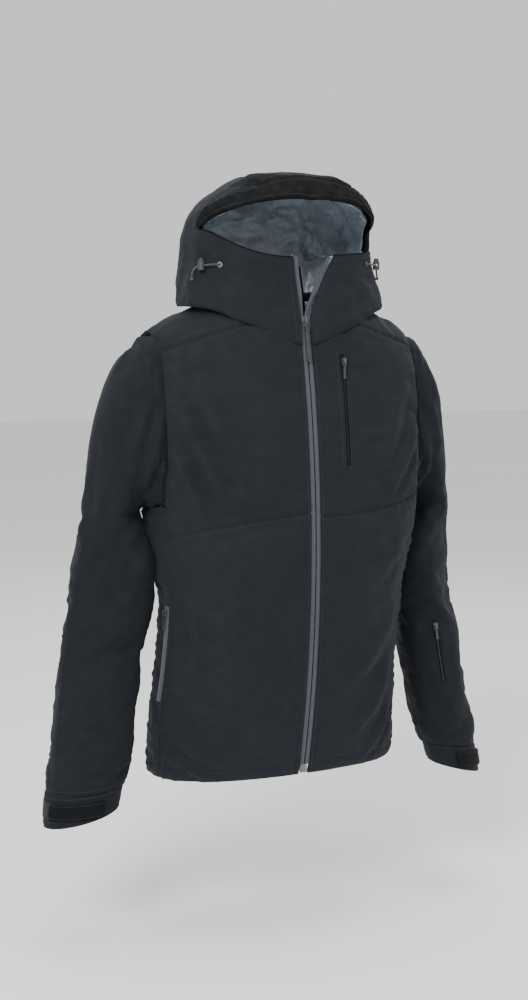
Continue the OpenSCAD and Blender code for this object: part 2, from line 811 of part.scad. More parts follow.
// Elastic cord of the hood's edge: out of the eyelet, through the lock and down to its knot.
// Each route is [angle, height, distance off the collar]
cord_r = 1.4;
cord_route_left = [[44, 50, 0.6], [45.5, 50, 3.6], [48, 50, 5.6], [52, 49.5, 6.2], [56, 49, 6.2],
    [60, 48, 6.2], [64, 46, 5.6], [66.5, 42, 4.8], [67.5, 36, 4], [67.5, 30, 3.2]];
cord_route_right = [[44, 44, 0.6], [45.5, 44, 3.6], [48, 44, 5.6], [52, 43.5, 6.2], [56, 43, 6.2],
    [60, 42, 6.2], [64, 40, 5.6], [66.5, 36, 4.8], [67.5, 30, 4], [67.5, 24, 3.2]];

function off_collar(r) =
    let (p = hood_pt(r[0], r[1], 0), q = hood_pt(r[0] + 1, r[1], 0), t = (q - p) / norm(q - p))
    p + [t[1], -t[0], 0] * (r[2] + 0.8);
function cord_rings(path, r) = [for (i = [0:len(path) - 1])
    let (
        a = path[max(i - 1, 0)],
        b = path[min(i + 1, len(path) - 1)],
        dir = (b - a) / norm(b - a),
        side = cross(dir, [0.1, -1, 0.2]) / norm(cross(dir, [0.1, -1, 0.2])),
        up = cross(side, dir)
    )
    [for (k = [0:45:315]) path[i] + r * (cos(k) * side + sin(k) * up)]];

module hood_cord(side, route) {
    color(black_trim) on_side(side) bar(backwards(cord_rings([for (p = route) off_collar(p)], cord_r)));
}

module hood_cord_right() hood_cord(right, cord_route_right);
module hood_cord_left() hood_cord(left, cord_route_left);

// Cord lock: a short barrel with a cross hole for the cord, and a sprung button on top
lock_phi = 58;
lock_r = 5.2;
lock_len = 13;
module lock_barrel() {
    difference() {
        cylinder(h = lock_len, r = lock_r, center = true, $fn = 48);
        translate([0, 0, 3]) cylinder(h = lock_len, r = lock_r - 1.4, center = true, $fn = 48);
        rotate([0, 90, 0]) cylinder(h = 4 * lock_r, r = cord_r + 1.3, center = true, $fn = 32);
    }
}

module at_lock(spot) at_collar(spot[0], lock_phi, spot[1] - 1.4, -7.0) children();

module cord_locks() color(gunmetal) for (s = lock_spots) at_lock(s) lock_barrel();

button_lift = 3;
module lock_button(spot) {
    color(gunmetal)
    at_lock(spot)
    translate([0, 0, lock_len / 2 + button_lift - 2])
    difference() {
        cylinder(h = 4 + button_lift, r = lock_r - 1.6, center = true, $fn = 48);
        translate([0, 0, 3 + button_lift / 2]) sphere(r = 2.4, $fn = 32);
    }
}

module lock_button_right() lock_button(lock_spots[0]);
module lock_button_left() lock_button(lock_spots[1]);

// Sleeves
function upper_rows(d) = backwards([
    each [for (h = head_rings) head_ring(h, d)],
    each [for (k = [1:4])
        [for (a = ring_angles())
            arm_pt(a, mix(armpit_z, elbow_top(a, armpit_z - 66, d, elbow_r + 11 * gap), k / 4), d)]]
]);

module upper_sleeve(side) {
    color(black_shell) on_side(side) tube(upper_rows(0), upper_rows(sleeve_t));
}

module upper_sleeve_right() upper_sleeve(right);
module upper_sleeve_left() upper_sleeve(left);

// The forearm starts in a rounded knuckle about the elbow's axis
function cuff_top(a) = cuff_z - 8 * cos(a);
module forearm(side) {
    rows = 8;
    grid = [for (d = [0, sleeve_t])
        [for (j = [0:rows])
            [for (a = ring_angles())
                arm_pt(a, mix(cuff_top(a) + gap, knuckle_top(a, elbow_z, d, elbow_r), j / rows), d)]]];
    color(black_shell) on_side(side) tube(grid[0], grid[1]);
}

module forearm_right() forearm(right);
module forearm_left() forearm(left);

cuff_in = 1.5;
module cuff(side) {
    grid = [for (d = [cuff_in, cuff_in + 5])
        [for (j = [0:3])
            [for (a = ring_angles())
                arm_pt(a, mix(cuff_top(a) - cuff_len - 8 * cos(a), cuff_top(a), j / 3), d)]]];
    color(black_shell) on_side(side) tube(grid[0], grid[1]);
}

module cuff_right() cuff(right);
module cuff_left() cuff(left);

// Bands round the cuff: from angle a0 to a1, between two depths under the sleeve's face
module cuff_band(side, a0, a1, drop, height, d0, d1) {
    nu = 10;
    grid = [for (d = [d0, d1])
        [for (j = [0:2])
            [for (i = [0:nu])
                let (a = mix(a0, a1, i / nu))
                arm_pt(a, cuff_top(a) - drop - height * (1 - j / 2), d)]]];
    on_side(side) slab(grid[0], grid[1]);
}

patch_a = 40;
tab_root = -108;
tab_tip = -22;
tab_drop = 12;
tab_h = 24;
module cuff_patch(side) {
    color(olive) cuff_band(side, tab_root + 16, patch_a, tab_drop, tab_h, cuff_in - 1.8, cuff_in - 0.7);
}

module cuff_patch_right() cuff_patch(right);
module cuff_patch_left() cuff_patch(left);

module cuff_tab(side) {
    color(black_trim) cuff_band(side, tab_root, tab_tip, tab_drop, tab_h, cuff_in - 4.6, cuff_in - 1.8 - gap);
}

module cuff_tab_right() cuff_tab(right);
module cuff_tab_left() cuff_tab(left);

// Pass pocket on the left forearm, towards the front
pass_a = -104;
pass_top = -528;
module pass_zip() {
    grid = [for (d = [-2.0, -gap])
        [for (j = [0:8])
            [for (k = [-1, 0, 1])
                arm_pt(pass_a + 4.2 * k, mix(pass_top - pass_zip_len, pass_top, j / 8), d)]]];
    color(black_trim) slab(grid[0], grid[1]);
}

pass_slider_z = pass_top - 10;
pass_slider_at = arm_pt(pass_a, pass_slider_z, -5.2);
pass_turn = -12;
pass_lean = -8;
module pass_frame() translate(pass_slider_at) rotate([0, 0, pass_turn]) rotate([0, pass_lean, 0]) children();
module pass_zip_slider() color(gunmetal) pass_frame() small_slider();
module pass_zip_pull() color(black_trim) pass_frame() translate(small_eye) small_pull(20);

front_right();
front_left();
chest_right();
chest_left();
yoke_right();
yoke_left();
back_panel();
side_right();
side_left();
body_lining();
powder_skirt();
collar_right();
collar_left();
collar_back();
collar_lining();
hang_loop();
storm_flap();
zip_tape_right();
zip_tape_left();
zip_coil_right();
zip_coil_left();
zip_ends();
zip_slider();
zip_pull();
chest_zip();
chest_zip_slider();
chest_zip_pull();
hand_zip_right();
hand_zip_left();
hand_zip_slider_right();
hand_zip_slider_left();
hand_zip_pull_right();
hand_zip_pull_left();
pocket_bags();
eyelets();
hood_cord_right();
hood_cord_left();
cord_locks();
lock_button_right();
lock_button_left();
hood_right();
hood_left();
hood_crown();
hood_brim();
hood_lining();
upper_sleeve_right();
upper_sleeve_left();
forearm_right();
forearm_left();
cuff_right();
cuff_left();
cuff_patch_right();
cuff_patch_left();
cuff_tab_right();
cuff_tab_left();
pass_zip();
pass_zip_slider();
pass_zip_pull();
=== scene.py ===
"""Insulated ski jacket: padded shell, lined hood, zips, cuffs and trims around the CAD frame."""

import math

import bmesh
import bpy
import numpy as np
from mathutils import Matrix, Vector


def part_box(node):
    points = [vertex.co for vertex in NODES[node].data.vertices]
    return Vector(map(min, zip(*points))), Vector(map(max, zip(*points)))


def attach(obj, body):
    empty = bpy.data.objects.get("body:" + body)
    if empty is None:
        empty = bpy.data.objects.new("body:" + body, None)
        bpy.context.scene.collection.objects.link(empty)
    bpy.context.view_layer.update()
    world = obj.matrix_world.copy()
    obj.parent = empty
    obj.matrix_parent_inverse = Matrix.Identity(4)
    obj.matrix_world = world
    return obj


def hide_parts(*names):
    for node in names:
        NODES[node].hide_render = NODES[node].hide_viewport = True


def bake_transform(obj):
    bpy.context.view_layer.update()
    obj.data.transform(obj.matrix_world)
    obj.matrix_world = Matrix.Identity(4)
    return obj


bl_info = {
    "name": "Ski jacket",
    "version": (1, 0, 0),
    "blender": (4, 5, 0),
    "location": "3D View > Sidebar > Jacket",
    "description": "Builds an insulated ski jacket piece by piece",
    "category": "Mesh",
}

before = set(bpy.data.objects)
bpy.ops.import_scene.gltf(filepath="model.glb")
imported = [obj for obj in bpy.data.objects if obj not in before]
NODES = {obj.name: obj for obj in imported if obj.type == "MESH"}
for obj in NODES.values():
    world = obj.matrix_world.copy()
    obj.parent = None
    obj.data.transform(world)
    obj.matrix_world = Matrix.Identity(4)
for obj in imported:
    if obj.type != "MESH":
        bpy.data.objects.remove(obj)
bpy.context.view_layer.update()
HEM_Z = round(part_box("front_right")[0][2] * 1000)
MM = 0.001
SIDES = ((-1, "right"), (1, "left"))

# ---- shape of the jacket, in millimetres
BODY_POWER = 0.8
SIDE_LINE = [
    (HEM_Z, 206), (-650, 205), (-560, 200), (-460, 201), (-400, 210), (-326, 223), (-240, 238),
    (-150, 238), (-100, 232), (-72, 222), (-55, 212), (-44, 193), (-32, 168), (-20, 143), (-8, 118),
    (2, 98), (12, 82),
]
BACK_LINE = [
    (HEM_Z, 118), (-560, 112), (-450, 108), (-250, 120), (-120, 116), (-60, 108), (-20, 95),
    (8, 80),
]
SWAY_LINE = [(HEM_Z, 9), (-640, 9), (-470, 0)]
ARM_X = 214
ARMPIT_Z = -326
ARC_Z, ARC_R = -390.0, (350**2 + 42**2) / 84
ARC_Y = ARC_R - 128
SLIDER_Z = -40
APEX_Z = SLIDER_Z + 7
OPENING_TOP = 60
OPEN_X = {-1: 4, 1: 46}
TAPE_W = 7.4
FRONT_EDGE_X = TAPE_W + 0.9

HOOD_LINE = [
    (-75, (136, -97, 88)), (-50, (154, -93, 92)), (-20, (164, -87, 97)), (5, (163, -82, 108)),
    (35, (157, -76, 118)), (62, (151, -75, 123)), (95, (148, -90, 124)), (120, (142, -107, 120)),
    (140, (127, -114, 110)), (158, (105, -109, 91)), (174, (80, -94, 69)), (185, (52, -64, 46)),
    (192, (18, -30, 10)),
]
HOOD_TAPER = 0.1
NECK_EDGE = [(0, -75), (27, -44), (45, -27), (62, -20), (90, -17), (135, -12), (180, -2)]
SIDE_PHI = 75
CROWN_Z = 140
HOOD_TOP = 192

HEAD_RINGS = [
    ((216.5, -316), (216.5, -56), 8, 66), ((219, -317), (236, -67), 9, 67),
    ((223, -318), (257, -90), 11, 66), ((227, -318), (275, -128), 14, 64),
    ((230, -319), (291, -180), 17, 62), ((232, -321), (305, -250), 21, 58),
    ((233, ARMPIT_Z), (318, ARMPIT_Z), 25, 55),
]
ARM_LINE = [
    (-805, (284, 388, 6)), (-745, (270, 380, 14)), (-700, (256, 373, 20)), (-620, (242, 362, 30)),
    (-545, (230, 351, 35)), (-470, (216, 337, 35)), (-400, (220, 328, 31)),
    (ARMPIT_Z, (233, 318, 25)),
]
ARM_DEPTH = [(-805, 44), (-745, 48), (-640, 53), (-450, 54), (ARMPIT_Z, 55)]
ARM_SKEW = 18
CUFF_Z = -745
CUFF_LEN = 43
CUFF_IN = 1.5
CHEST_ZIP_X = 57
HAND_ZIP_PHI = 86
PASS_ZIP_ANGLE = -104
ARMHOLE_MID_Z, ARMHOLE_UP, ARMHOLE_DOWN = -186, 130, 136


def curve(table, x):
    """Smooth curve through a table of (place, value), held level past both ends"""
    xs = np.array([t[0] for t in table], float)
    ys = np.array([t[1] for t in table], float)
    x = np.asarray(x, float)
    n = len(xs)
    before, after = np.maximum(np.arange(n) - 1, 0), np.minimum(np.arange(n) + 1, n - 1)
    gap = (xs[after] - xs[before]).reshape((-1,) + (1,) * (ys.ndim - 1))
    m = (ys[after] - ys[before]) / gap
    i = np.clip(np.searchsorted(xs, x, side="left") - 1, 0, n - 2)
    h = xs[i + 1] - xs[i]
    s = np.clip((x - xs[i]) / h, 0, 1)
    if ys.ndim > 1:
        s, h = s[..., None], h[..., None]
    s2, s3 = s * s, s * s * s
    return ((2 * s3 - 3 * s2 + 1) * ys[i] + (s3 - 2 * s2 + s) * h * m[i]
            + (3 * s2 - 2 * s3) * ys[i + 1] + (s3 - s2) * h * m[i + 1])


def ease(t):
    t = np.clip(t, 0, 1)
    return t * t * (3 - 2 * t)


def spow(v, p):
    return np.sign(v) * np.abs(v) ** p


def section(phi, z, d, a, f, r):
    m, b = (f + r) / 2, (r - f) / 2 - d
    s, c = np.sin(np.radians(phi)), np.cos(np.radians(phi))
    return np.stack([(a - d) * spow(s, BODY_POWER), m - b * spow(c, BODY_POWER), z + 0 * s], -1)


def zip_y(z):
    return ARC_Y - np.sqrt(ARC_R**2 - (z - ARC_Z) ** 2)


def body_pt(phi, z, d=0):
    phi, z = np.broadcast_arrays(np.asarray(phi, float), np.asarray(z, float))
    hand = np.where((phi > 180) | (phi < 0), 1, -1)
    sway = hand * curve(SWAY_LINE, z) * ease(np.abs(np.sin(np.radians(phi))) * 2)
    return section(phi, z, d, curve(SIDE_LINE, z) + sway, zip_y(z), curve(BACK_LINE, z))


def reach_phi(x, a):
    return np.degrees(np.arcsin(np.minimum(1, (x / a) ** (1 / BODY_POWER))))


def front_pt(x, z, d=0):
    """Point on the front of the body at x and z"""
    side = 1 if x >= 0 else -1
    return body_pt(side * reach_phi(abs(x), float(curve(SIDE_LINE, z))), z, d)


def hood_pt(phi, z, d=0):
    phi, z = np.broadcast_arrays(np.asarray(phi, float), np.asarray(z, float))
    s = curve(HOOD_LINE, z)
    p = section(phi, z, d, s[..., 0], s[..., 1], s[..., 2])
    p[..., 0] *= 1 + HOOD_TAPER * np.cos(np.radians(phi))
    return p


def open_x(side, z):
    return OPEN_X[side] * np.maximum(0, (z - APEX_Z) / (OPENING_TOP - APEX_Z)) ** 1.25


def collar_phi(side, z):
    return reach_phi(FRONT_EDGE_X + open_x(side, z), curve(HOOD_LINE, z)[..., 0])


def arm_pt(angle, z, d=0):
    angle, z = np.broadcast_arrays(np.asarray(angle, float), np.asarray(z, float))
    s, depth = curve(ARM_LINE, z), curve(ARM_DEPTH, z)
    half = (s[..., 1] - s[..., 0]) / 2
    c, n = np.cos(np.radians(angle)), np.sin(np.radians(angle))
    skew = ARM_SKEW * c * ease((ARMPIT_Z - z) / 80)
    return np.stack([(s[..., 0] + s[..., 1]) / 2 + (half - d) * c,
                     s[..., 2] + (depth - d) * n + skew, z + 0 * c], -1)


def cuff_top(angle):
    return CUFF_Z - 8 * np.cos(np.radians(angle))


def crown_edge(phi):
    q = np.abs((np.asarray(phi, float) + 180) % 360 - 180)
    return CROWN_Z + 32 * ease((90 - q) / 90)


def brim_low(phi):
    return 142 - 39 * (np.abs(phi) / SIDE_PHI) ** 2


def running_length(line):
    """How far along the line each of its points lies"""
    return np.concatenate([[0], np.cumsum(np.linalg.norm(np.diff(line, axis=0), axis=1))])


def resample(line, count):
    """Same line with count points at even spacing"""
    line = np.asarray(line, float)
    run = running_length(line)
    at = np.linspace(0, run[-1], count)
    return np.stack([np.interp(at, run, line[:, k]) for k in range(line.shape[1])], -1)


def mirrored(points, side):
    points = np.array(points, float)
    points[..., 0] *= side
    return points


# ---- smooth fields on the cloth
def value_noise(p, seed):
    """Smooth noise between -1 and 1 at each point of p"""
    cell = np.floor(p).astype(np.int64)
    f = p - cell
    f = f * f * (3 - 2 * f)
    total = np.zeros(len(p))
    for corner in range(8):
        step = np.array([corner & 1, corner >> 1 & 1, corner >> 2 & 1])
        c = cell + step
        h = (c[:, 0] * 374761393 + c[:, 1] * 668265263 + c[:, 2] * 1440662683
             + seed * 974711) & 0xFFFFFFFF
        h = ((h ^ (h >> 13)) * 1274126177) & 0xFFFFFFFF
        h = (h ^ (h >> 16)) & 0xFFFFFFFF
        w = np.prod(np.where(step == 1, f, 1 - f), axis=1)
        total += w * (h / 2147483648.0 - 1)
    return total


def creases(p, size, seed, stretch=(1, 1, 1), sharp=2.0):
    """Ridged noise for creased cloth: narrow raised folds with soft hollows between them"""
    q = p / size / np.array(stretch)
    warp = np.stack([value_noise(q * 0.7 + 11, seed + k) for k in (1, 2, 3)], -1)
    ridge = 1 - np.abs(value_noise(q + warp * 0.9, seed))
    return ridge**sharp - 0.42


def along(p, line):
    """Distance of each point of p to a line of points, and how far along it lies (0 to 1)"""
    line = np.asarray(line, float)
    best = np.full(len(p), 1e9)
    place = np.zeros(len(p))
    lengths = np.linalg.norm(np.diff(line, axis=0), axis=1)
    total, run = lengths.sum(), 0.0
    for a, b, length in zip(line[:-1], line[1:], lengths):
        t = np.clip(((p - a) @ (b - a)) / (length * length), 0, 1)
        off = p - a - t[:, None] * (b - a)
        d = np.linalg.norm(off, axis=1)
        near = d < best
        best = np.where(near, d, best)
        place = np.where(near, (run + t * length) / total, place)
        run += length
    return best, place


def fold(p, line, width, height):
    """One soft fold that follows a line and dies out towards its ends"""
    d, t = along(p, line)
    taper = np.sin(np.pi * np.clip(t, 0.02, 0.98)) ** 0.7
    bump = np.exp(-((d / width) ** 2)) - 0.55 * np.exp(-(((d - 1.6 * width) / width) ** 2))
    return height * taper * bump


def seam(p, line, depth=1.5, width=2.6, pucker=0.5, pitch=13):
    """A sewn seam: a narrow groove with the cloth slightly gathered beside it"""
    d, t = along(p, line)
    length = np.linalg.norm(np.diff(np.asarray(line, float), axis=0), axis=1).sum()
    wander = 2.1 * np.sin(t * length / 37)
    gather = np.sin(t * length / pitch * 2 * np.pi + wander) * np.exp(-((d - 7) / 6) ** 2)
    roll = 0.45 * np.exp(-(((d - 2.6 * width) / (1.6 * width)) ** 2))
    return depth * (roll - np.exp(-((d / width) ** 2))) + pucker * gather


def calm(p, lines, width):
    """Factor that flattens the cloth's relief along lines where something is sewn on"""
    keep = np.ones(len(p))
    for line in lines:
        keep *= 1 - np.exp(-((along(p, line)[0] / width) ** 4))
    return keep


# ---- meshes
def new_object(name, mesh):
    obj = bpy.data.objects.new(name, mesh)
    bpy.context.scene.collection.objects.link(obj)
    return obj


def cloth_mesh(name, grids, weld=0.05):
    """One mesh from grids of points in millimetres, welded where they meet, UV map in metres"""
    bm = bmesh.new()
    uv = bm.loops.layers.uv.new("UVMap")
    for grid, closed in grids:
        rows, cols = grid.shape[:2]
        across, down = running_length(grid[rows // 2]), running_length(grid[:, cols // 2])
        wrap = across[-1] + np.linalg.norm(grid[rows // 2, 0] - grid[rows // 2, -1])
        verts = [[bm.verts.new(Vector(p) * MM) for p in row] for row in grid]
        for j in range(rows - 1):
            for i in range(cols if closed else cols - 1):
                k = (i + 1) % cols
                face = bm.faces.new((verts[j][i], verts[j][k], verts[j + 1][k], verts[j + 1][i]))
                u1 = across[k] if k else wrap
                for loop, u, v in zip(face.loops, (across[i], u1, u1, across[i]),
                                      (down[j], down[j], down[j + 1], down[j + 1])):
                    loop[uv].uv = (u * MM, v * MM)
                face.smooth = True
    bmesh.ops.remove_doubles(bm, verts=bm.verts, dist=weld * MM)
    bmesh.ops.recalc_face_normals(bm, faces=bm.faces)
    mesh = bpy.data.meshes.new(name)
    bm.to_mesh(mesh)
    bm.free()
    return new_object(name, mesh)


def coords(obj):
    out = np.empty(len(obj.data.vertices) * 3)
    obj.data.vertices.foreach_get("co", out)
    return out.reshape(-1, 3) / MM


def set_coords(obj, p):
    obj.data.vertices.foreach_set("co", (np.asarray(p) * MM).ravel())
    obj.data.update()


def normals(obj):
    out = np.empty(len(obj.data.vertices) * 3)
    obj.data.vertex_normals.foreach_get("vector", out)
    return out.reshape(-1, 3)


def face_outwards(obj, centre):
    """Turn the whole surface over if it faces its own middle"""
    p, n = coords(obj), normals(obj)
    if np.sum(n * (p - np.array(centre))) < 0:
        obj.data.flip_normals()


def delete_faces(obj, unwanted):
    """Take away the faces whose middle point is unwanted"""
    bm = bmesh.new()
    bm.from_mesh(obj.data)
    gone = [f for f in bm.faces if unwanted(f.calc_center_median())]
    bmesh.ops.delete(bm, geom=gone, context="FACES")
    bm.to_mesh(obj.data)
    bm.free()


def apply_modifiers(obj):
    bpy.context.view_layer.update()
    graph = bpy.context.evaluated_depsgraph_get()
    finished = obj.evaluated_get(graph)
    mesh = bpy.data.meshes.new_from_object(finished, preserve_all_data_layers=True, depsgraph=graph)
    obj.modifiers.clear()
    old = obj.data
    obj.data = mesh
    bpy.data.meshes.remove(old)
    return obj


def subdivide(obj, levels=1):
    m = obj.modifiers.new("smooth", "SUBSURF")
    m.levels = m.render_levels = levels
    m.boundary_smooth = "PRESERVE_CORNERS"
    return apply_modifiers(obj)


def thicken(obj, thickness, offset=-1):
    m = obj.modifiers.new("wall", "SOLIDIFY")
    m.thickness = thickness * MM
    m.offset = offset
    m.use_even_offset = False
    m.use_quality_normals = True
    return apply_modifiers(obj)


def settle(obj, pinned, growth=0.04, pressure=2.0, cap=9.0, steps=16, stiffness=12.0):
    """Let the padded cloth crease by itself: a little longer than its seams, puffed from inside"""
    start = coords(obj)
    group = obj.vertex_groups.new(name="pinned")
    for i in np.nonzero(pinned > 0)[0]:
        group.add([int(i)], float(pinned[i]), "REPLACE")
    m = obj.modifiers.new("settle", "CLOTH")
    s = m.settings
    s.quality = 5
    s.mass = 0.25
    s.tension_stiffness = s.compression_stiffness = stiffness
    s.shear_stiffness = stiffness * 0.6
    s.bending_stiffness = 0.35
    s.tension_damping = s.compression_damping = s.shear_damping = 12
    s.air_damping = 6
    s.vertex_group_mass = "pinned"
    s.pin_stiffness = 1
    s.shrink_min = -growth
    s.use_pressure = True
    s.uniform_pressure_force = pressure
    s.effector_weights.gravity = 0
    m.collision_settings.use_collision = False
    m.collision_settings.use_self_collision = False
    m.point_cache.frame_start, m.point_cache.frame_end = 1, steps
    scene = bpy.context.scene
    for step in range(1, steps + 1):
        scene.frame_set(step)
    apply_modifiers(obj)
    scene.frame_set(1)
    moved = coords(obj) - start
    reach = np.linalg.norm(moved, axis=1)
    moved *= (cap * np.tanh(reach / cap) / np.maximum(reach, 1e-6))[:, None]
    set_coords(obj, start + moved)
    obj.vertex_groups.clear()


def finish_cloth(obj, body, slot, *nodes, fill=None):
    """Finish a piece: hide the CAD nodes it stands for, then parent it to its body's empty, or only
    bake its transform when body is a tuple. Its slot and fill (padding) are not used.
    """
    if nodes:
        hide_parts(*nodes)
    if isinstance(body, tuple):
        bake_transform(obj)
    else:
        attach(obj, body)


# ---- materials
class Nodes:
    """Small helper that adds shader nodes and links them"""

    def __init__(self, name, colour, roughness, **sockets):
        self.material = bpy.data.materials.new(name)
        self.material.use_nodes = True
        self.material.diffuse_color = (*colour, 1)
        self.tree = self.material.node_tree
        self.shader = self.tree.nodes["Principled BSDF"]
        self.shader.inputs["Base Color"].default_value = (*colour, 1)
        self.shader.inputs["Roughness"].default_value = roughness
        for key, value in sockets.items():
            self.shader.inputs[key.replace("_", " ")].default_value = value
        self.coords = self.tree.nodes.new("ShaderNodeTexCoord")
        self.bump = None

    def add(self, kind, **values):
        node = self.tree.nodes.new(kind)
        for key, value in values.items():
            if hasattr(node, key):
                setattr(node, key, value)
            else:
                node.inputs[key.replace("_", " ")].default_value = value
        return node

    def link(self, a, b):
        self.tree.links.new(a, b)

    def mapped(self, output, scale, turn=0.0):
        node = self.add("ShaderNodeMapping")
        node.inputs["Scale"].default_value = scale
        node.inputs["Rotation"].default_value = (0, 0, turn)
        self.link(self.coords.outputs[output], node.inputs["Vector"])
        return node.outputs["Vector"]

    def noise(self, scale, detail=2.0, output="Object", stretch=(1, 1, 1), distortion=0.0):
        node = self.add("ShaderNodeTexNoise", Scale=scale, Detail=detail, Distortion=distortion)
        self.link(self.mapped(output, stretch), node.inputs["Vector"])
        return node.outputs["Fac"]

    def wave(self, period, turn, distortion=0.0):
        """Stripes of one period in metres across the UV map"""
        node = self.add("ShaderNodeTexWave", Scale=math.pi / (10 * period), Distortion=distortion,
                        Detail=1.0)
        self.link(self.mapped("UV", (1, 1, 1), turn), node.inputs["Vector"])
        return node.outputs["Fac"]

    def mix(self, kind, a, b):
        node = self.add("ShaderNodeMath", operation=kind)
        for k, v in enumerate((a, b)):
            if isinstance(v, (int, float)):
                node.inputs[k].default_value = v
            else:
                self.link(v, node.inputs[k])
        return node.outputs[0]

    def raised(self, height, distance, strength=1.0):
        node = self.add("ShaderNodeBump", Strength=strength, Distance=distance)
        self.link(height, node.inputs["Height"])
        if self.bump:
            self.link(self.bump.outputs["Normal"], node.inputs["Normal"])
        self.bump = node
        self.link(node.outputs["Normal"], self.shader.inputs["Normal"])

    def toned(self, factor, stops, socket="Base Color"):
        ramp = self.add("ShaderNodeValToRGB")
        while len(ramp.color_ramp.elements) < len(stops):
            ramp.color_ramp.elements.new(0.5)
        for element, (place, value) in zip(ramp.color_ramp.elements, stops):
            element.position = place
            element.color = (*value, 1) if hasattr(value, "__len__") else (value, value, value, 1)
        self.link(factor, ramp.inputs["Fac"])
        self.link(ramp.outputs["Color"], self.shader.inputs[socket])
        return ramp


def shade(colour, factor):
    return tuple(c * factor for c in colour)


def shell_fabric(name, colour, weave=0.0011, sheen=0.04, roughness=0.82):
    """Matt plain-woven face fabric: warp and weft, a faint heather, small creases, rubbed spots"""
    n = Nodes(name, colour, roughness, Sheen_Weight=sheen, Sheen_Roughness=0.5,
              Specular_IOR_Level=0.14)
    n.shader.inputs["Sheen Tint"].default_value = (0.75, 0.82, 0.95, 1)
    warp, weft = n.wave(weave, 0.0, 2.2), n.wave(weave, math.pi / 2, 2.2)
    cloth = n.mix("MULTIPLY", warp, weft)
    heather = n.noise(1400, 2.0)
    tone = n.noise(9, 4.0)
    fine = n.mix("ADD", n.mix("MULTIPLY", heather, 0.5), n.mix("MULTIPLY", cloth, 0.14))
    total = n.mix("ADD", fine, n.mix("MULTIPLY", tone, 0.35))
    n.toned(total, [(0.30, shade(colour, 0.72)), (0.52, colour), (0.80, shade(colour, 1.42))])
    rough = n.noise(55, 3.0)
    n.toned(rough, [(0.3, roughness - 0.06), (0.7, roughness + 0.1)], "Roughness")
    n.raised(n.noise(42, 4.0, distortion=0.7), 0.0011, 0.55)
    n.raised(n.noise(160, 3.0, distortion=0.4), 0.0003, 0.5)
    n.raised(cloth, 0.0001, 0.6)
    return n.material


def taffeta(name, colour):
    """Thin glossy lining: very fine ribs across and crisp small creases"""
    n = Nodes(name, colour, 0.3, Specular_IOR_Level=0.8, Sheen_Weight=0.15, Sheen_Roughness=0.3)
    rib = n.wave(0.0006, math.pi / 2, 0.2)
    tone = n.noise(30, 4.0)
    total = n.mix("ADD", n.mix("MULTIPLY", rib, 0.25), n.mix("MULTIPLY", tone, 0.75))
    n.toned(total, [(0.28, shade(colour, 0.72)), (0.5, colour), (0.75, shade(colour, 1.3))])
    n.toned(n.noise(70, 3.0), [(0.3, 0.22), (0.7, 0.4)], "Roughness")
    n.raised(n.noise(60, 4.0, distortion=1.2), 0.0016, 0.7)
    n.raised(rib, 0.00006, 0.6)
    return n.material


def ribbed_tape(name, colour, rib=0.0009):
    """Woven zip tape with a clear rib along it"""
    n = Nodes(name, colour, 0.66, Specular_IOR_Level=0.4, Sheen_Weight=0.2)
    ribs = n.wave(rib, 0.0)
    cross = n.wave(0.0007, math.pi / 2)
    total = n.mix("ADD", n.mix("MULTIPLY", ribs, 0.5), n.mix("MULTIPLY", n.noise(900, 2.0), 0.5))
    n.toned(total, [(0.25, shade(colour, 0.6)), (0.5, colour), (0.8, shade(colour, 1.3))])
    n.raised(ribs, 0.00018, 0.8)
    n.raised(cross, 0.00008, 0.6)
    return n.material


def loop_pile(name, colour):
    """Loop side of a hook-and-loop patch: a dense mat of small loops"""
    n = Nodes(name, colour, 0.95, Specular_IOR_Level=0.1, Sheen_Weight=0.08, Sheen_Roughness=0.7)
    node = n.add("ShaderNodeTexVoronoi", Scale=900.0)
    n.link(n.mapped("Object", (1, 1, 1)), node.inputs["Vector"])
    cells = node.outputs["Distance"]
    n.toned(cells, [(0.1, shade(colour, 1.7)), (0.5, colour), (0.9, shade(colour, 0.4))])
    n.raised(cells, 0.0006, 0.9)
    return n.material


def metal(name, colour, roughness=0.34):
    """Dark plated metal with fine scratches and paler rubbed spots"""
    n = Nodes(name, colour, roughness, Metallic=0.9)
    scratch = n.noise(300, 3.0, stretch=(1, 1, 0.08))
    wear = n.noise(45, 4.0)
    n.toned(wear, [(0.35, shade(colour, 0.7)), (0.55, colour), (0.72, shade(colour, 1.9))])
    n.toned(scratch, [(0.3, roughness - 0.1), (0.7, roughness + 0.16)], "Roughness")
    n.raised(scratch, 0.00006, 0.5)
    return n.material


def moulded(name, colour, roughness=0.5):
    """Moulded plastic or rubber with a fine grain"""
    n = Nodes(name, colour, roughness, Specular_IOR_Level=0.5)
    grain = n.noise(1100, 2.0)
    n.toned(n.noise(120, 3.0), [(0.3, shade(colour, 0.75)), (0.7, shade(colour, 1.5))])
    n.toned(grain, [(0.3, roughness - 0.06), (0.7, roughness + 0.1)], "Roughness")
    n.raised(grain, 0.00008, 0.5)
    return n.material


def braided(name, colour):
    """Braided cord: two crossing sets of slanting threads on the cord's own UV map"""
    n = Nodes(name, colour, 0.7, Specular_IOR_Level=0.35, Sheen_Weight=0.3)
    a, b = n.wave(0.0011, 0.9), n.wave(0.0011, -0.9)
    plait = n.mix("MAXIMUM", a, b)
    n.toned(plait, [(0.2, shade(colour, 0.5)), (0.6, colour), (0.95, shade(colour, 1.6))])
    n.raised(plait, 0.0003, 0.9)
    return n.material


MATERIALS = {}


def paint(obj, name):
    obj.data.materials.clear()
    obj.data.materials.append(MATERIALS[name])


def colour(name, description, default):
    return bpy.props.FloatVectorProperty(
        name=name, description=description, subtype="COLOR", size=3, default=default, min=0, max=1)


def length(name, description, default, low, high):
    return bpy.props.FloatProperty(
        name=name, description=description, default=default, min=low, max=high, unit="LENGTH")


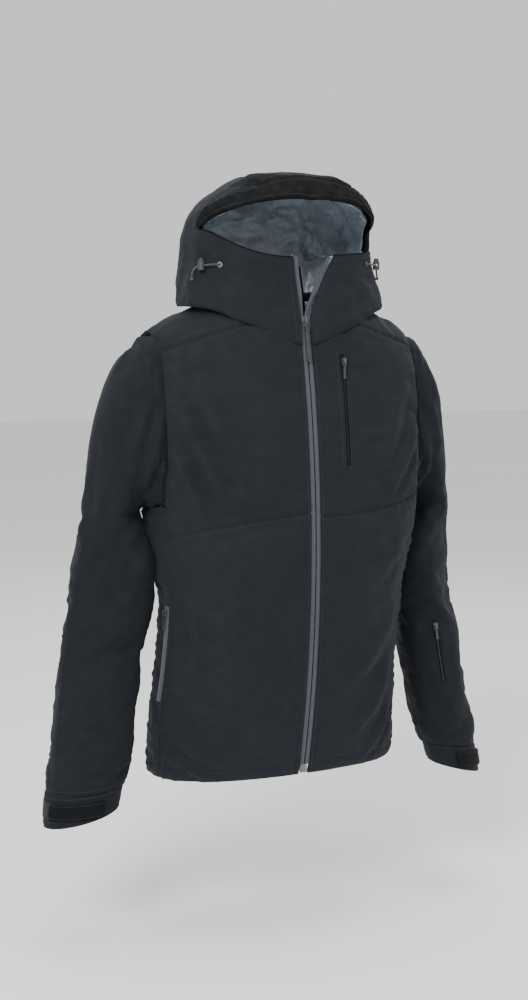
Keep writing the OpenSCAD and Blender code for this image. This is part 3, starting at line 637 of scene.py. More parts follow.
class JacketColours(bpy.types.PropertyGroup):
    """Colours of the fabrics and trims"""

    shell: colour("Shell", "Face fabric of the body and sleeves", (0.0100, 0.0120, 0.0155))
    # Sleeves: the shell fabric made darker, as painted shade on the sleeves and cuffs
    sleeve: colour("Sleeves", "Face fabric of the sleeves", (0.0074, 0.0090, 0.0118))
    # Trim: the dark cloth of the binding, flap, skirt and tabs; the same colour also paints the
    # shade on the brim's band
    trim: colour("Trim", "Brim, flap and binding", (0.0016, 0.0020, 0.0028))
    lining: colour("Lining", "Taffeta of the hood and body", (0.25, 0.295, 0.35))
    tape: colour("Zip tape", "Tape of the front zip", (0.034, 0.043, 0.055))
    patch: colour("Cuff patch", "Loop patch on the cuff", (0.0034, 0.0034, 0.0024))


class JacketSizes(bpy.types.PropertyGroup):
    """Sizes of the sewing and of the cloth's relief, in metres"""

    cell: length("Cloth cell", "Mesh size of the cloth before it is smoothed", 0.0072, 0.005, 0.015)
    wall: length("Padding", "Thickness of the padded wall", 0.005, 0.003, 0.008)
    stitch: length("Stitch", "Length of one stitch", 0.0030, 0.002, 0.005)
    stitch_gap: length("Stitch gap", "From one stitch to the next", 0.0041, 0.003, 0.007)
    tooth_pitch: length("Tooth pitch", "From one zip tooth to the next", 0.0024, 0.002, 0.004)


def sizes():
    return bpy.context.scene.jacket_sizes


def colours():
    return bpy.context.scene.jacket_colours


# ---- seam lines of the body, in millimetres
def seam_from(points, count=60):
    return resample(np.array(points), count)


def chest_seam(side):
    u = np.linspace(0, 1, 40)
    z = -326 - 40 * u if side < 0 else -333 + 40 * u**1.6
    edge = reach_phi(FRONT_EDGE_X, curve(SIDE_LINE, z))
    return seam_from(body_pt(side * (edge + (80 - edge) * u), z))


def side_seam(side, phi):
    z = np.linspace(HEM_Z, ARMPIT_Z + 6, 50)
    return seam_from(body_pt(side * phi, z))


def yoke_front(side):
    x = np.linspace(88, 213, 30)
    z = -44 - 40 * ((x - 88) / 125) ** 1.1
    return seam_from([front_pt(side * a, b) for a, b in zip(x, z)], 40)


def yoke_back():
    x = np.linspace(-213, 213, 60)
    z = -150 + 12 * (np.abs(x) / 213) ** 2
    out = []
    for a, b in zip(x, z):
        s = 1 if a >= 0 else -1
        out.append(body_pt(s * (180 - reach_phi(abs(a), float(curve(SIDE_LINE, b)))), b))
    return seam_from(out, 80)


def front_line(x, z0, z1, count=70):
    return seam_from([front_pt(x, z) for z in np.linspace(z0, z1, count)], count)


def hem_line(lift):
    q = np.linspace(FRONT_EDGE_X / 5, 360 - FRONT_EDGE_X / 5, 160)
    return seam_from(body_pt(q, HEM_Z + lift + 0 * q), 200)


def body_fittings():
    """Lines of the pocket zips on the body"""
    z = np.linspace(-625, -465, 20)
    return [front_line(CHEST_ZIP_X, -264, -82, 20)] + [seam_from(body_pt(s * HAND_ZIP_PHI, z), 20)
                                                       for s in (-1, 1)]


def front_folds():
    """Soft folds of the front and sides: points (x, z), width and height"""
    return [
        ([(-190, -110), (-150, -200), (-105, -300)], 16, 2.6),
        ([(-200, -175), (-165, -250), (-140, -330)], 12, 2.4),
        ([(-208, -235), (-185, -290), (-165, -350)], 10, 3.0),
        ([(-120, -95), (-85, -170), (-70, -260)], 18, 1.8),
        ([(-188, -455), (-176, -510), (-150, -560)], 11, 3.0),
        ([(-196, -600), (-150, -640), (-105, -655)], 12, 2.2),
        ([(-199, -655), (-165, -690), (-120, -712)], 9, 2.6),
        ([(-200, -700), (-178, -712), (-150, -732)], 7, 2.4),
        ([(-60, -380), (-75, -470), (-55, -560)], 20, 1.6),
        ([(-30, -440), (-45, -520), (-30, -600)], 12, 1.4),
        ([(190, -110), (150, -180), (120, -260)], 15, 2.4),
        ([(200, -200), (170, -250), (130, -300)], 11, 2.8),
        ([(165, -380), (110, -430), (60, -440)], 14, 2.2),
        ([(160, -480), (100, -560), (45, -610)], 16, 2.6),
        ([(165, -560), (120, -640), (70, -690)], 14, 2.6),
        ([(170, -640), (140, -690), (110, -725)], 9, 2.4),
        ([(25, -150), (30, -230), (22, -300)], 9, 1.2),
    ]


def back_folds():
    return [
        ([(-150, -200), (-110, -300), (-60, -360)], 18, 2.6),
        ([(150, -200), (110, -300), (60, -360)], 18, 2.4),
        ([(-160, -420), (-80, -455), (0, -450)], 16, 2.6),
        ([(165, -440), (90, -480), (10, -500)], 15, 2.4),
        ([(-140, -560), (-60, -590), (30, -600)], 18, 2.0),
        ([(150, -600), (90, -650), (30, -670)], 16, 2.2),
        ([(-40, -170), (-20, -260), (-35, -340)], 20, 1.6),
    ]


def body_relief(p, n):
    """Height of the creases, folds and seams at each point of the body, in millimetres"""
    h = 2.5 * creases(p, 58, 5, (1.5, 1, 0.9)) + 1.1 * creases(p, 27, 9, (1.2, 1, 1.1))
    side = np.exp(-(((np.abs(p[:, 0]) - 200) / 38) ** 2))
    low = np.exp(-(((p[:, 2] - HEM_Z - 45) / 55) ** 2))
    h += side * (0.4 + low) * 1.8 * creases(p, 24, 21, (1, 1, 0.6))
    arm = np.exp(-(((np.abs(p[:, 0]) - ARM_X) / 34) ** 2)) * (p[:, 2] > -400) * (p[:, 2] < -70)
    rim = np.clip((ARM_X + 2 - np.abs(p[:, 0])) / 14, 0, 1)
    h += arm * rim * 2.6 * creases(p, 30, 31, (1.6, 1, 0.45))
    h += 4.0 * np.clip((np.abs(p[:, 0]) - 185) / 20, 0, 1) * np.exp(-(((p[:, 2] + 385) / 62) ** 2))
    rolled = np.clip((np.abs(p[:, 0]) - 205) / 9, 0, 1.2) * (p[:, 2] > ARMPIT_Z)
    h -= 2.2 * rolled**2
    front, back = n[:, 1] < 0.15, n[:, 1] > -0.15
    for points, width, height in front_folds():
        line = seam_from([front_pt(x, z) for x, z in points], 14)
        h[front] += fold(p[front], line, width, 2.6 * height)
    for points, width, height in back_folds():
        line = seam_from([front_pt(x, z) * (1, -1, 1)
                          + (0, float(curve(BACK_LINE, z) + zip_y(z)), 0)
                          for x, z in points], 14)
        h[back] += fold(p[back], line, width, 1.8 * height)
    flat = np.ones(len(p))
    for s in (-1, 1):
        placket, _ = along(p, front_line(s * FRONT_EDGE_X, HEM_Z, -60))
        flat *= 1 - 0.85 * np.exp(-((placket / 16) ** 2))
    h *= flat * calm(p, body_fittings(), 13)
    for s in (-1, 1):
        h += seam(p, chest_seam(s), 1.7, 2.6, 0.7, 17)
        h += seam(p, yoke_front(s), 1.5, 2.6, 0.6, 15)
        h += seam(p, side_seam(s, 79), 1.4, 2.6, 0.8, 14)
        h += seam(p, side_seam(s, 101), 1.3, 2.6, 0.7, 15)
        h += seam(p, front_line(s * 15.5, HEM_Z + 2, -60), 0.9, 1.7, 0.35, 9)
    h += seam(p, yoke_back(), 1.6, 2.6, 0.7, 17)
    h += seam(p, hem_line(19), 1.1, 1.8, 0.9, 11)
    hem = np.clip(1 - (p[:, 2] - HEM_Z) / 14, 0, 1)
    h -= 2.2 * hem**2
    # Chest pocket's welt stands over its zip
    d, _ = along(p, front_line(53, -258, -84))
    inner = np.exp(-((d / 5) ** 2)) * (p[:, 0] < 56)
    h += 1.6 * inner * front
    return h


class JACKET_OT_body(bpy.types.Operator):
    """Padded body shell with its panels, seams and folds"""

    bl_idname = "jacket.body"
    bl_label = "Body"

    def execute(self, context):
        cell = sizes().cell / MM
        z = np.linspace(HEM_Z, 8, 900)
        profile = resample(np.stack([z, curve(SIDE_LINE, z)], -1), int(900 / cell))
        q = np.linspace(-1, 1, 1500)
        rows = []
        cols = int(1085 / cell)
        for height in profile[:, 0]:
            edge = float(reach_phi(FRONT_EDGE_X, curve(SIDE_LINE, height)))
            rows.append(resample(body_pt(180 + q * (180 - edge), height + 0 * q), cols))
        obj = cloth_mesh("body_shell", [(np.array(rows), False)])
        face_outwards(obj, (0, 0, -350))
        p = coords(obj)
        pins = np.zeros(len(p))
        edge = np.abs(p[:, 0]) < FRONT_EDGE_X + 9
        pins[edge & (p[:, 1] < 0)] = 1
        pins[(p[:, 2] < HEM_Z + 8) | (p[:, 2] > -30)] = 1
        pins[(np.abs(p[:, 0]) > 206) & (p[:, 2] > -330)] = 1
        for s in (-1, 1):
            for line in (chest_seam(s), yoke_front(s), side_seam(s, 79), side_seam(s, 101)):
                pins[along(p, line)[0] < cell * 0.75] = 1
        pins[along(p, yoke_back())[0] < cell * 0.75] = 1
        pins[along(p, hem_line(19))[0] < cell * 0.6] = 1
        pins[calm(p, body_fittings(), 16) < 0.6] = 1
        settle(obj, pins, growth=0.022, pressure=1.0, cap=5.0)
        subdivide(obj)
        p, n = coords(obj), normals(obj)
        set_coords(obj, p + n * body_relief(p, n)[:, None])
        self.cut_armholes(obj)
        thicken(obj, sizes().wall / MM)
        paint(obj, "shell")
        finish_cloth(obj, "torso", "shell", "front_right", "front_left", "chest_right",
                     "chest_left", "yoke_right",
                     "yoke_left", "back_panel", "side_right", "side_left", fill=0.25)
        return {"FINISHED"}

    def cut_armholes(self, obj):
        bm = bmesh.new()
        bm.from_mesh(obj.data)
        low = (ARMPIT_Z + 8) * MM
        for side in (-1, 1):
            for point, normal in (((side * ARM_X * MM, 0, 0), (side, 0, 0)),
                                  ((0, 0, low), (0, 0, 1))):
                faces = [f for f in bm.faces if f.calc_center_median().x * side > 0.18
                         and f.calc_center_median().z > low - 0.02]
                edges = list({e for f in faces for e in f.edges})
                verts = list({v for f in faces for v in f.verts})
                bmesh.ops.bisect_plane(bm, geom=faces + edges + verts, plane_co=point,
                                       plane_no=normal, dist=1e-6)
            gone = [f for f in bm.faces if f.calc_center_median().x * side > ARM_X * MM
                    and f.calc_center_median().z > low]
            bmesh.ops.delete(bm, geom=gone, context="FACES")
        gone = []
        for f in bm.faces:
            c = f.calc_center_median() / MM
            if c.y < 0 and abs(c.x) < 70 and c.z > -60 + 0.41 * abs(c.x):
                gone.append(f)
        bmesh.ops.delete(bm, geom=gone, context="FACES")
        bm.to_mesh(obj.data)
        bm.free()


class JACKET_OT_body_lining(bpy.types.Operator):
    """Taffeta lining and snow skirt inside the body; the lining stands in for the pocket bags"""

    bl_idname = "jacket.body_lining"
    bl_label = "Body lining"

    def execute(self, context):
        z = np.linspace(HEM_Z + 14, -6, 96)
        q = np.linspace(-1, 1, 900)
        rows = []
        for height in z:
            start = float(reach_phi(24, curve(SIDE_LINE, height) - 8))
            rows.append(resample(body_pt(180 + q * (180 - start), height + 0 * q, 8.2), 150))
        obj = cloth_mesh("body_lining_cloth", [(np.array(rows), False)])
        face_outwards(obj, (0, 0, -350))
        p, n = coords(obj), normals(obj)
        h = 1.3 * creases(p, 34, 61, (1, 1, 1.4)) + 0.6 * creases(p, 15, 64)
        h *= np.clip((p[:, 2] - HEM_Z - 14) / 20, 0.15, 1)
        set_coords(obj, p + n * h[:, None])
        delete_faces(obj, lambda c: abs(c.x) > (ARM_X - 10) * MM and c.z > (ARMPIT_Z + 4) * MM)
        thicken(obj, 0.6)
        paint(obj, "lining")
        finish_cloth(obj, "torso", "lining", "body_lining", "pocket_bags")
        self.skirt()
        return {"FINISHED"}

    def skirt(self):
        t = np.linspace(0, 1, 16)[:, None]
        q = np.linspace(-1, 1, 320)[None, :]
        z = -650 + 82 * t + 0 * q
        d = 11 + 9 * np.sin(np.pi * t) + 4 * (1 - t) + 1.6 * np.sin(q * 95) * (1 - t) * 0.8
        obj = cloth_mesh("snow_skirt", [(body_pt(180 + 168 * q + 0 * t, z, d), False)])
        face_outwards(obj, (0, 0, -610))
        thicken(obj, 0.8)
        paint(obj, "trim")
        finish_cloth(obj, "torso", "trim", "powder_skirt")


# ---- hood and collar
def collar_top(side):
    """Height of the collar's top edge from the zip (0) to the hood's side (1)"""
    return (lambda u: 56 + 40 * ease(u)) if side < 0 else (lambda u: 60 + 12 * u)


def side_top(phi):
    """Height where the hood's side leaves the collar's line, by angle round the back"""
    t = (phi - SIDE_PHI) / (360 - 2 * SIDE_PHI)
    return 72 + 24 * ease(t) + 14 * np.sin(np.pi * t)


HOOD_STEP = 2.5
HOOD_BODIES = ("torso", "hood", (0, 0, 0.048), (0, 0, 0.130))


def hood_grids(d, rows=1.0, neck_lift=0.0, brim=True):
    """Grids of the collar and hood at depth d: two collar fronts, sides and back, brim and crown"""
    grids = []
    low_rows, mid_rows, top_rows = int(20 * rows), int(10 * rows), int(14 * rows)
    for side in (-1, 1):
        top = collar_top(side)
        u = np.linspace(0, 1, int(24 * rows))[None, :]
        t = np.linspace(0, 1, low_rows)[:, None]
        z = curve(NECK_EDGE, u * SIDE_PHI) + neck_lift
        z = z + (top(u) - z) * t
        edge = collar_phi(side, z)
        grids.append((hood_pt(side * (edge + (SIDE_PHI - edge) * u), z, d), False))
    phi = np.arange(SIDE_PHI, 360 - SIDE_PHI + 0.01, HOOD_STEP)[None, :]
    q = np.minimum(phi, 360 - phi)
    t = np.linspace(0, 1, low_rows)[:, None]
    neck, mid, crown = curve(NECK_EDGE, q) + neck_lift, side_top(phi), crown_edge(phi)
    grids.append((hood_pt(phi + 0 * t, neck + (mid - neck) * t, d), False))
    t = np.linspace(0, 1, mid_rows)[:, None]
    grids.append((hood_pt(phi + 0 * t, mid + (crown - mid) * t, d), False))
    front = np.arange(-SIDE_PHI, SIDE_PHI + 0.01, HOOD_STEP)[None, :]
    if brim:
        low, high = brim_low(front), crown_edge(front)
        grids.append((hood_pt(front + 0 * t, low + (high - low) * t, d), False))
    ring = np.arange(-SIDE_PHI, 360 - SIDE_PHI - 0.01, HOOD_STEP)[None, :]
    t = np.linspace(0, 1, top_rows)[:, None]
    rise = np.sin(t * math.pi / 2)
    z = crown_edge(ring) + (HOOD_TOP - crown_edge(ring)) * rise
    p = hood_pt(ring + 0 * t, z, d * np.cos(t * 1.22))
    p[..., 2] -= d * rise
    pole = np.array([0, -10, HOOD_TOP + 0.6 - d])
    p = p + (pole - p) * ((t - 0.9).clip(0) * 10)[..., None] ** 1.5
    grids.append((p, True))
    return grids


def hood_seams():
    """Seam lines of the hood: the crown's two sides, the brim's edge and the collar's join"""
    phi = np.linspace(-SIDE_PHI, SIDE_PHI, 60)
    brim_seam = seam_from(hood_pt(phi, brim_low(phi) + 30 - 6 * (phi / SIDE_PHI) ** 2), 80)
    out = [brim_seam]
    for s in (-1, 1):
        y = np.linspace(-88, 104, 50)
        z = 150 + 30 * np.cos(y / 110 * math.pi / 2)
        line = []
        for a, b in zip(y, z):
            f = curve(HOOD_LINE, b)
            mid, half = (f[1] + f[2]) / 2, (f[2] - f[1]) / 2
            c = np.clip(abs((mid - a) / half), 0, 1) ** (1 / BODY_POWER)
            phi_a = math.degrees(math.acos(c))
            phi_a = phi_a if a < mid else 180 - phi_a
            line.append(hood_pt(s * phi_a, b))
        out.append(seam_from(line, 60))
    return out


def hood_fittings():
    """Edges beside the open zip, and the cords with their locks"""
    out = []
    for s in (-1, 1):
        z = np.linspace(-74, float(collar_top(s)(0)), 24)
        out.append(seam_from(hood_pt(s * collar_phi(s, z), z), 24))
        out.append(mirrored(np.array([hood_pt(r[0], r[1]) for r in CORD_ROUTES[s]]), s))
    return out


def hood_relief(p):
    h = 1.9 * creases(p, 46, 71, (1.3, 1, 0.8)) + 0.8 * creases(p, 22, 75)
    neck = np.exp(-(((p[:, 2] + 20) / 40) ** 2))
    h += 1.5 * neck * creases(p, 30, 79, (1.8, 1.4, 0.5))
    for line in hood_seams():
        h += seam(p, line, 1.3, 2.4, 0.6, 13)
    for points, width, height in (
        ([(-150, 10, -30), (-128, -50, -25), (-70, -88, -38)], 11, 2.6),
        ([(-150, 30, 20), (-135, -40, 12), (-80, -80, 0)], 12, 2.0),
        ([(-150, 0, 70), (-125, -50, 55), (-90, -70, 50)], 10, 1.6),
        ([(60, -92, -50), (105, -70, -25), (150, -10, -20)], 11, 2.4),
        ([(50, -88, -10), (100, -65, 10), (140, -20, 20)], 10, 1.8),
    ):
        h += fold(p, seam_from(points, 14), width, 1.5 * height)
    return h * calm(p, hood_fittings(), 13)


class JACKET_OT_hood(bpy.types.Operator):
    """Padded collar and hood in one piece"""

    bl_idname = "jacket.hood"
    bl_label = "Hood and collar"

    def execute(self, context):
        obj = cloth_mesh("hood_shell", hood_grids(0), 0.4)
        face_outwards(obj, (0, 0, 60))
        p = coords(obj)
        rim = np.zeros(len(p))
        edges = bmesh.new()
        edges.from_mesh(obj.data)
        for v in edges.verts:
            if v.is_boundary:
                rim[v.index] = 1
        edges.free()
        for line in hood_seams():
            rim[along(p, line)[0] < 3.2] = 1
        rim[calm(p, hood_fittings(), 15) < 0.6] = 1
        settle(obj, rim, growth=0.025, pressure=0.9, cap=4.5)
        subdivide(obj)
        p, n = coords(obj), normals(obj)
        set_coords(obj, p + n * hood_relief(p)[:, None])
        thicken(obj, 5.5)
        paint(obj, "shell")
        # painted shade on the brim's band, made with the dark trim material
        self.paint_brim_band_shade(obj)
        finish_cloth(obj, HOOD_BODIES, "shell", "collar_right", "collar_left", "collar_back",
                     "hood_right", "hood_left", "hood_crown", "hood_brim", fill=0.3)
        self.lining()
        self.binding()
        return {"FINISHED"}

    def paint_brim_band_shade(self, obj):
        """Painted shade: the brim's band gets the dark trim material in place of the shadow that
        falls on it
        """
        # the dark trim material is added here to paint the shade on the brim's band
        obj.data.materials.append(MATERIALS["trim"])
        for face in obj.data.polygons:
            c = np.array(face.center) / MM
            if c[1] > 5 or c[2] < 98:
                continue
            s = curve(HOOD_LINE, c[2])
            phi = math.degrees(math.atan2(abs(c[0]) / s[0],
                                          max(1e-6,
                                              ((s[1] + s[2]) / 2 - c[1]) / ((s[2] - s[1]) / 2))))
            over = c[1] < -45 and c[2] > 158
            if phi < SIDE_PHI + 3 and (over or c[2] < brim_low(phi)
                                       + 30 - 6 * (phi / SIDE_PHI) ** 2):
                # this face of the brim's band takes the trim material as painted shade
                face.material_index = 1

    def lining(self):
        obj = cloth_mesh("hood_lining_cloth", hood_grids(11.5, 1.4, 5), 0.4)
        face_outwards(obj, (0, 0, 60))
        subdivide(obj)
        p, n = coords(obj), normals(obj)
        h = 7.0 * creases(p, 36, 91, (1, 1, 1.3), 1.3) + 3.6 * creases(p, 17, 95, (1, 1, 1.4), 1.3)
        h += 1.0 * creases(p, 8, 99) - 3.4
        h = np.clip(h, -7.5, 2.2)
        set_coords(obj, p + n * h[:, None])
        thicken(obj, 0.6)
        paint(obj, "lining")
        finish_cloth(obj, HOOD_BODIES, "lining", "collar_lining", "hood_lining")

    def binding(self):
        """Rolled binding along the edge of the brim and the tops of the collar"""
        phi = np.linspace(-SIDE_PHI - 2, SIDE_PHI + 2, 90)
        tube("brim_binding", hood_pt(phi, brim_low(phi), 3.2), 2.6, "trim", HOOD_BODIES, "trim")
        for side, word in SIDES:
            u = np.linspace(0, 1, 40)
            z = collar_top(side)(u)
            edge = collar_phi(side, z)
            line = hood_pt(side * (edge + (SIDE_PHI - edge) * u), z, 3.6)
            tube("collar_binding_" + word, line, 2.2, "trim", HOOD_BODIES, "trim")


def tube(name, line, radius, material, body, slot, sides=10):
    """Round tube along a line of points in millimetres, with a UV map in metres"""
    obj = new_object(name, tube_mesh(name, line, radius, sides))
    paint(obj, material)
    finish_cloth(obj, body, slot)
    return obj


def tube_mesh(name, line, radius, sides):
    line = np.asarray(line, float)
    direction = np.gradient(line, axis=0)
    direction /= np.linalg.norm(direction, axis=1)[:, None]
    side = np.cross(direction[0], (0.1, -1, 0.2))
    bm = bmesh.new()
    uv = bm.loops.layers.uv.new("UVMap")
    rings, runs, run = [], [], 0.0
    for k, (p, t) in enumerate(zip(line, direction)):
        side = side - t * np.dot(side, t)
        side /= np.linalg.norm(side)
        up = np.cross(t, side)
        if k:
            run += np.linalg.norm(p - line[k - 1])
        runs.append(run)
        angles = 2 * math.pi * np.arange(sides) / sides
        ring = [p + radius * (math.cos(a) * side + math.sin(a) * up) for a in angles]
        rings.append([bm.verts.new(Vector(q * MM)) for q in ring])
    for k in range(len(rings) - 1):
        for i in range(sides):
            j = (i + 1) % sides
            face = bm.faces.new((rings[k][i], rings[k][j], rings[k + 1][j], rings[k + 1][i]))
            face.smooth = True
            around = (i, i + 1, i + 1, i)
            for loop, a, r in zip(face.loops, around, (runs[k], runs[k], runs[k + 1], runs[k + 1])):
                loop[uv].uv = (a / sides * 2 * math.pi * radius * MM, r * MM)
    bm.faces.new(list(reversed(rings[0])))
    bm.faces.new(rings[-1])
    bmesh.ops.recalc_face_normals(bm, faces=bm.faces)
    mesh = bpy.data.meshes.new(name)
    bm.to_mesh(mesh)
    bm.free()
    return mesh


# ---- sleeves
SPLIT_Z = -427
SHOULDER_BEND = (0.5, -1.0)
SHOULDER_START, SHOULDER_LEN = 379.0, 100.0
ELBOW_END = -577


def armhole_ring(c, s, x, depth):
    """Outline of the body's armhole at one x, closed at the armpit"""
    depth = depth * (1 - 0.6 * np.maximum(c, 0))
    z = ARMHOLE_MID_Z + np.where(c > 0, ARMHOLE_UP - depth, ARMHOLE_DOWN) * c
    half = curve(SIDE_LINE, z)
    phi = reach_phi(x, np.maximum(half - depth, x))
    front, back = body_pt(phi, z, depth)[:, 1], body_pt(180 - phi, z, depth)[:, 1]
    reach = (back - front) / 2 * np.sign(s) * np.clip(np.abs(s) * 2.6, 0, 1) ** 0.6
    return np.stack([x + 0 * c, (front + back) / 2 + reach, z], -1)


def sleeve_grid(side, d=0):
    """Sleeve from the armhole to the cuff's seam, rows from the top down"""
    cell = sizes().cell / MM
    turn = 46
    angle = np.linspace(0, 360, turn, endpoint=False)
    c, s = np.cos(np.radians(angle)), np.sin(np.radians(angle))
    rows = []
    table = [(k, (*low, *high, mid_y, half_y)) for k,
             (low, high, mid_y, half_y) in enumerate(HEAD_RINGS)]
    places = np.linspace(0, len(table) - 1, 26)
    for x, depth in ((206, 8.5), (210, 7), (214, 5)):
        rows.append(armhole_ring(c, s, x, depth))
    edge = armhole_ring(c, s, 216, 2.6)
    for place, v in zip(places, curve(table, places)):
        low, high = v[:2], v[2:4]
        mid, arm = (low + high) / 2, (high - low) / 2
        reach = arm * (1 - d / np.linalg.norm(arm))
        ring = np.stack([mid[0] + reach[0] * c, v[4] + (v[5] - d) * s, mid[1] + reach[1] * c], -1)
        ring[:, 1] += (1 - ease(place / 4.5)) * (edge[:, 1] - ring[:, 1])
        rows.append(ring)
    count = int((ARMPIT_Z - CUFF_Z) / cell)
    for k in range(1, count + 1):
        t = k / count
        z = ARMPIT_Z + (cuff_top(angle) - 1 - ARMPIT_Z) * t
        rows.append(arm_pt(angle, z, d))
    return mirrored(np.array(rows), side)


def sleeve_seams(side):
    z = np.linspace(-335, CUFF_Z + 2, 40)
    z_low = np.linspace(-500, CUFF_Z, 30)
    return [mirrored(seam_from(arm_pt(-14, z)), side), mirrored(seam_from(arm_pt(178, z)), side),
            mirrored(seam_from(arm_pt(96, z_low)), side)]


def pass_line():
    return seam_from(arm_pt(PASS_ZIP_ANGLE, np.linspace(-640, -522, 20)), 20)


def sleeve_relief(p, side):
    q = p * (side, 1, 1)
    h = 2.6 * creases(q, 52, 41 if side > 0 else 43, (0.9, 1, 1.5)) + 1.1 * creases(q, 24, 47)
    elbow = np.exp(-(((q[:, 2] + 455) / 75) ** 2))
    h += 2.2 * elbow * creases(q, 30, 51, (1.6, 1.5, 0.5))
    wrist = np.exp(-(((q[:, 2] + 712) / 34) ** 2))
    h += 2.4 * wrist * creases(q, 24, 53, (1.5, 1.4, 0.45))
    head = np.exp(-(((q[:, 0] - 222) / 26) ** 2)) * (q[:, 2] > -345)
    h += 2.6 * head * creases(q, 26, 57, (0.5, 1, 1.1))
    for points, width, height in (
        ([(232, -48, -150), (252, -52, -200), (262, -45, -250)], 9, 3.4),
        ([(224, -56, -200), (238, -52, -262), (246, -42, -315)], 8, 3.6),
        ([(226, -38, -290), (245, -30, -340), (268, -24, -380)], 9, 3.0),
        ([(232, 0, -420), (262, -20, -460), (300, -20, -470)], 10, 3.0),
        ([(235, 5, -500), (270, -18, -520), (315, -14, -515)], 10, 2.4),
        ([(250, 0, -590), (285, -25, -625), (325, -20, -640)], 11, 2.4),
        ([(262, 5, -690), (290, -28, -712), (330, -30, -708)], 8, 3.0),
        ([(268, 0, -722), (300, -30, -732), (345, -26, -726)], 6, 2.6),
        ([(318, 20, -200), (326, 25, -290), (330, 30, -360)], 14, 1.8),
        ([(335, 60, -430), (325, 75, -470), (290, 80, -490)], 10, 2.8),
    ):
        h += fold(q, seam_from(points, 14), width, 1.5 * height)
    for line in sleeve_seams(side):
        h += seam(p, line, 1.2, 2.4, 0.6, 15)
    ring0 = np.clip(1 - (q[:, 0] - 216.5) / 7, 0, 1) * (q[:, 2] > -330)
    h *= 1 - 0.8 * np.clip(1 - (q[:, 0] - 214) / 14, 0, 1) * (q[:, 2] > -330)
    h -= 1.2 * ring0**1.5
    inner = np.clip(1 - (q[:, 0] - 216) / 40, 0, 1) * np.exp(-(((q[:, 2] + 395) / 66) ** 2))
    h += 6.0 * inner
    low = np.clip(1 - (q[:, 2] - (CUFF_Z - 6)) / 12, 0, 1)
    h -= 2.0 * low**2
    return h


class JACKET_OT_sleeves(bpy.types.Operator):
    """Padded sleeves, each cut into an upper and a lower piece"""

    bl_idname = "jacket.sleeves"
    bl_label = "Sleeves"

    def execute(self, context):
        for side, word in SIDES:
            self.sleeve(side, word)
        return {"FINISHED"}

    def sleeve(self, side, word):
        obj = cloth_mesh("sleeve_" + word, [(sleeve_grid(side), True)])
        face_outwards(obj, (side * 275, 20, -450))
        p = coords(obj)
        q = p * (side, 1, 1)
        pins = np.zeros(len(p))
        pins[(q[:, 0] < 219) & (q[:, 2] > -322)] = 1
        pins[q[:, 2] < CUFF_Z + 8] = 1
        for line in sleeve_seams(side)[:2]:
            pins[along(p, line)[0] < 4.5] = 1
        if side > 0:
            pins[calm(p, [pass_line()], 15) < 0.6] = 1
        settle(obj, pins, growth=0.045, pressure=1.2, cap=6.5)
        subdivide(obj)
        p, n = coords(obj), normals(obj)
        h = sleeve_relief(p, side)
        if side > 0:
            h *= calm(p, [pass_line()], 12)
        set_coords(obj, p + n * h[:, None])
        self.level_split(obj)
        thicken(obj, 6)
        # the darker sleeve material paints shade onto the sleeve
        paint(obj, "sleeve")
        lower = obj.copy()
        lower.data = obj.data.copy()
        bpy.context.scene.collection.objects.link(lower)
        for piece, keep_above, name in ((obj, True, "sleeve_upper_" + word),
                                        (lower, False, "sleeve_lower_" + word)):
            self.keep_part(piece, keep_above)
            piece.name = piece.data.name = name
        dx, dz = SHOULDER_BEND
        size = math.hypot(dx, dz)
        a, b = SHOULDER_START / size, (SHOULDER_START + SHOULDER_LEN) / size
        start = (side * a * dx * MM, 0, a * dz * MM)
        end = (side * b * dx * MM, 0, b * dz * MM)
        finish_cloth(obj, ("torso", "upper_arm_" + word, start, end), "shell",
                     "upper_sleeve_" + word, fill=0.3)
        finish_cloth(lower,
                     ("upper_arm_" + word, "lower_arm_" + word, (0, 0, SPLIT_Z * MM),
                      (0, 0, ELBOW_END * MM)),
                     "shell", "forearm_" + word, fill=0.3)

    def level_split(self, obj):
        """Cut a level ring of edges where the two halves of the sleeve part"""
        bm = bmesh.new()
        bm.from_mesh(obj.data)
        geom = list(bm.verts) + list(bm.edges) + list(bm.faces)
        bmesh.ops.bisect_plane(bm, geom=geom, plane_co=(0, 0, SPLIT_Z * MM), plane_no=(0, 0, 1),
                               dist=1e-6)
        bm.to_mesh(obj.data)
        bm.free()

    def keep_part(self, obj, above):
        smooth = {}
        for v, n in zip(obj.data.vertices, normals(obj)):
            smooth[tuple(round(c, 6) for c in v.co)] = n
        delete_faces(obj, lambda c: (c.z > SPLIT_Z * MM) != above)
        kept = [smooth[tuple(round(c, 6) for c in v.co)] for v in obj.data.vertices]
        obj.data.normals_split_custom_set_from_vertices([Vector(n) for n in kept])


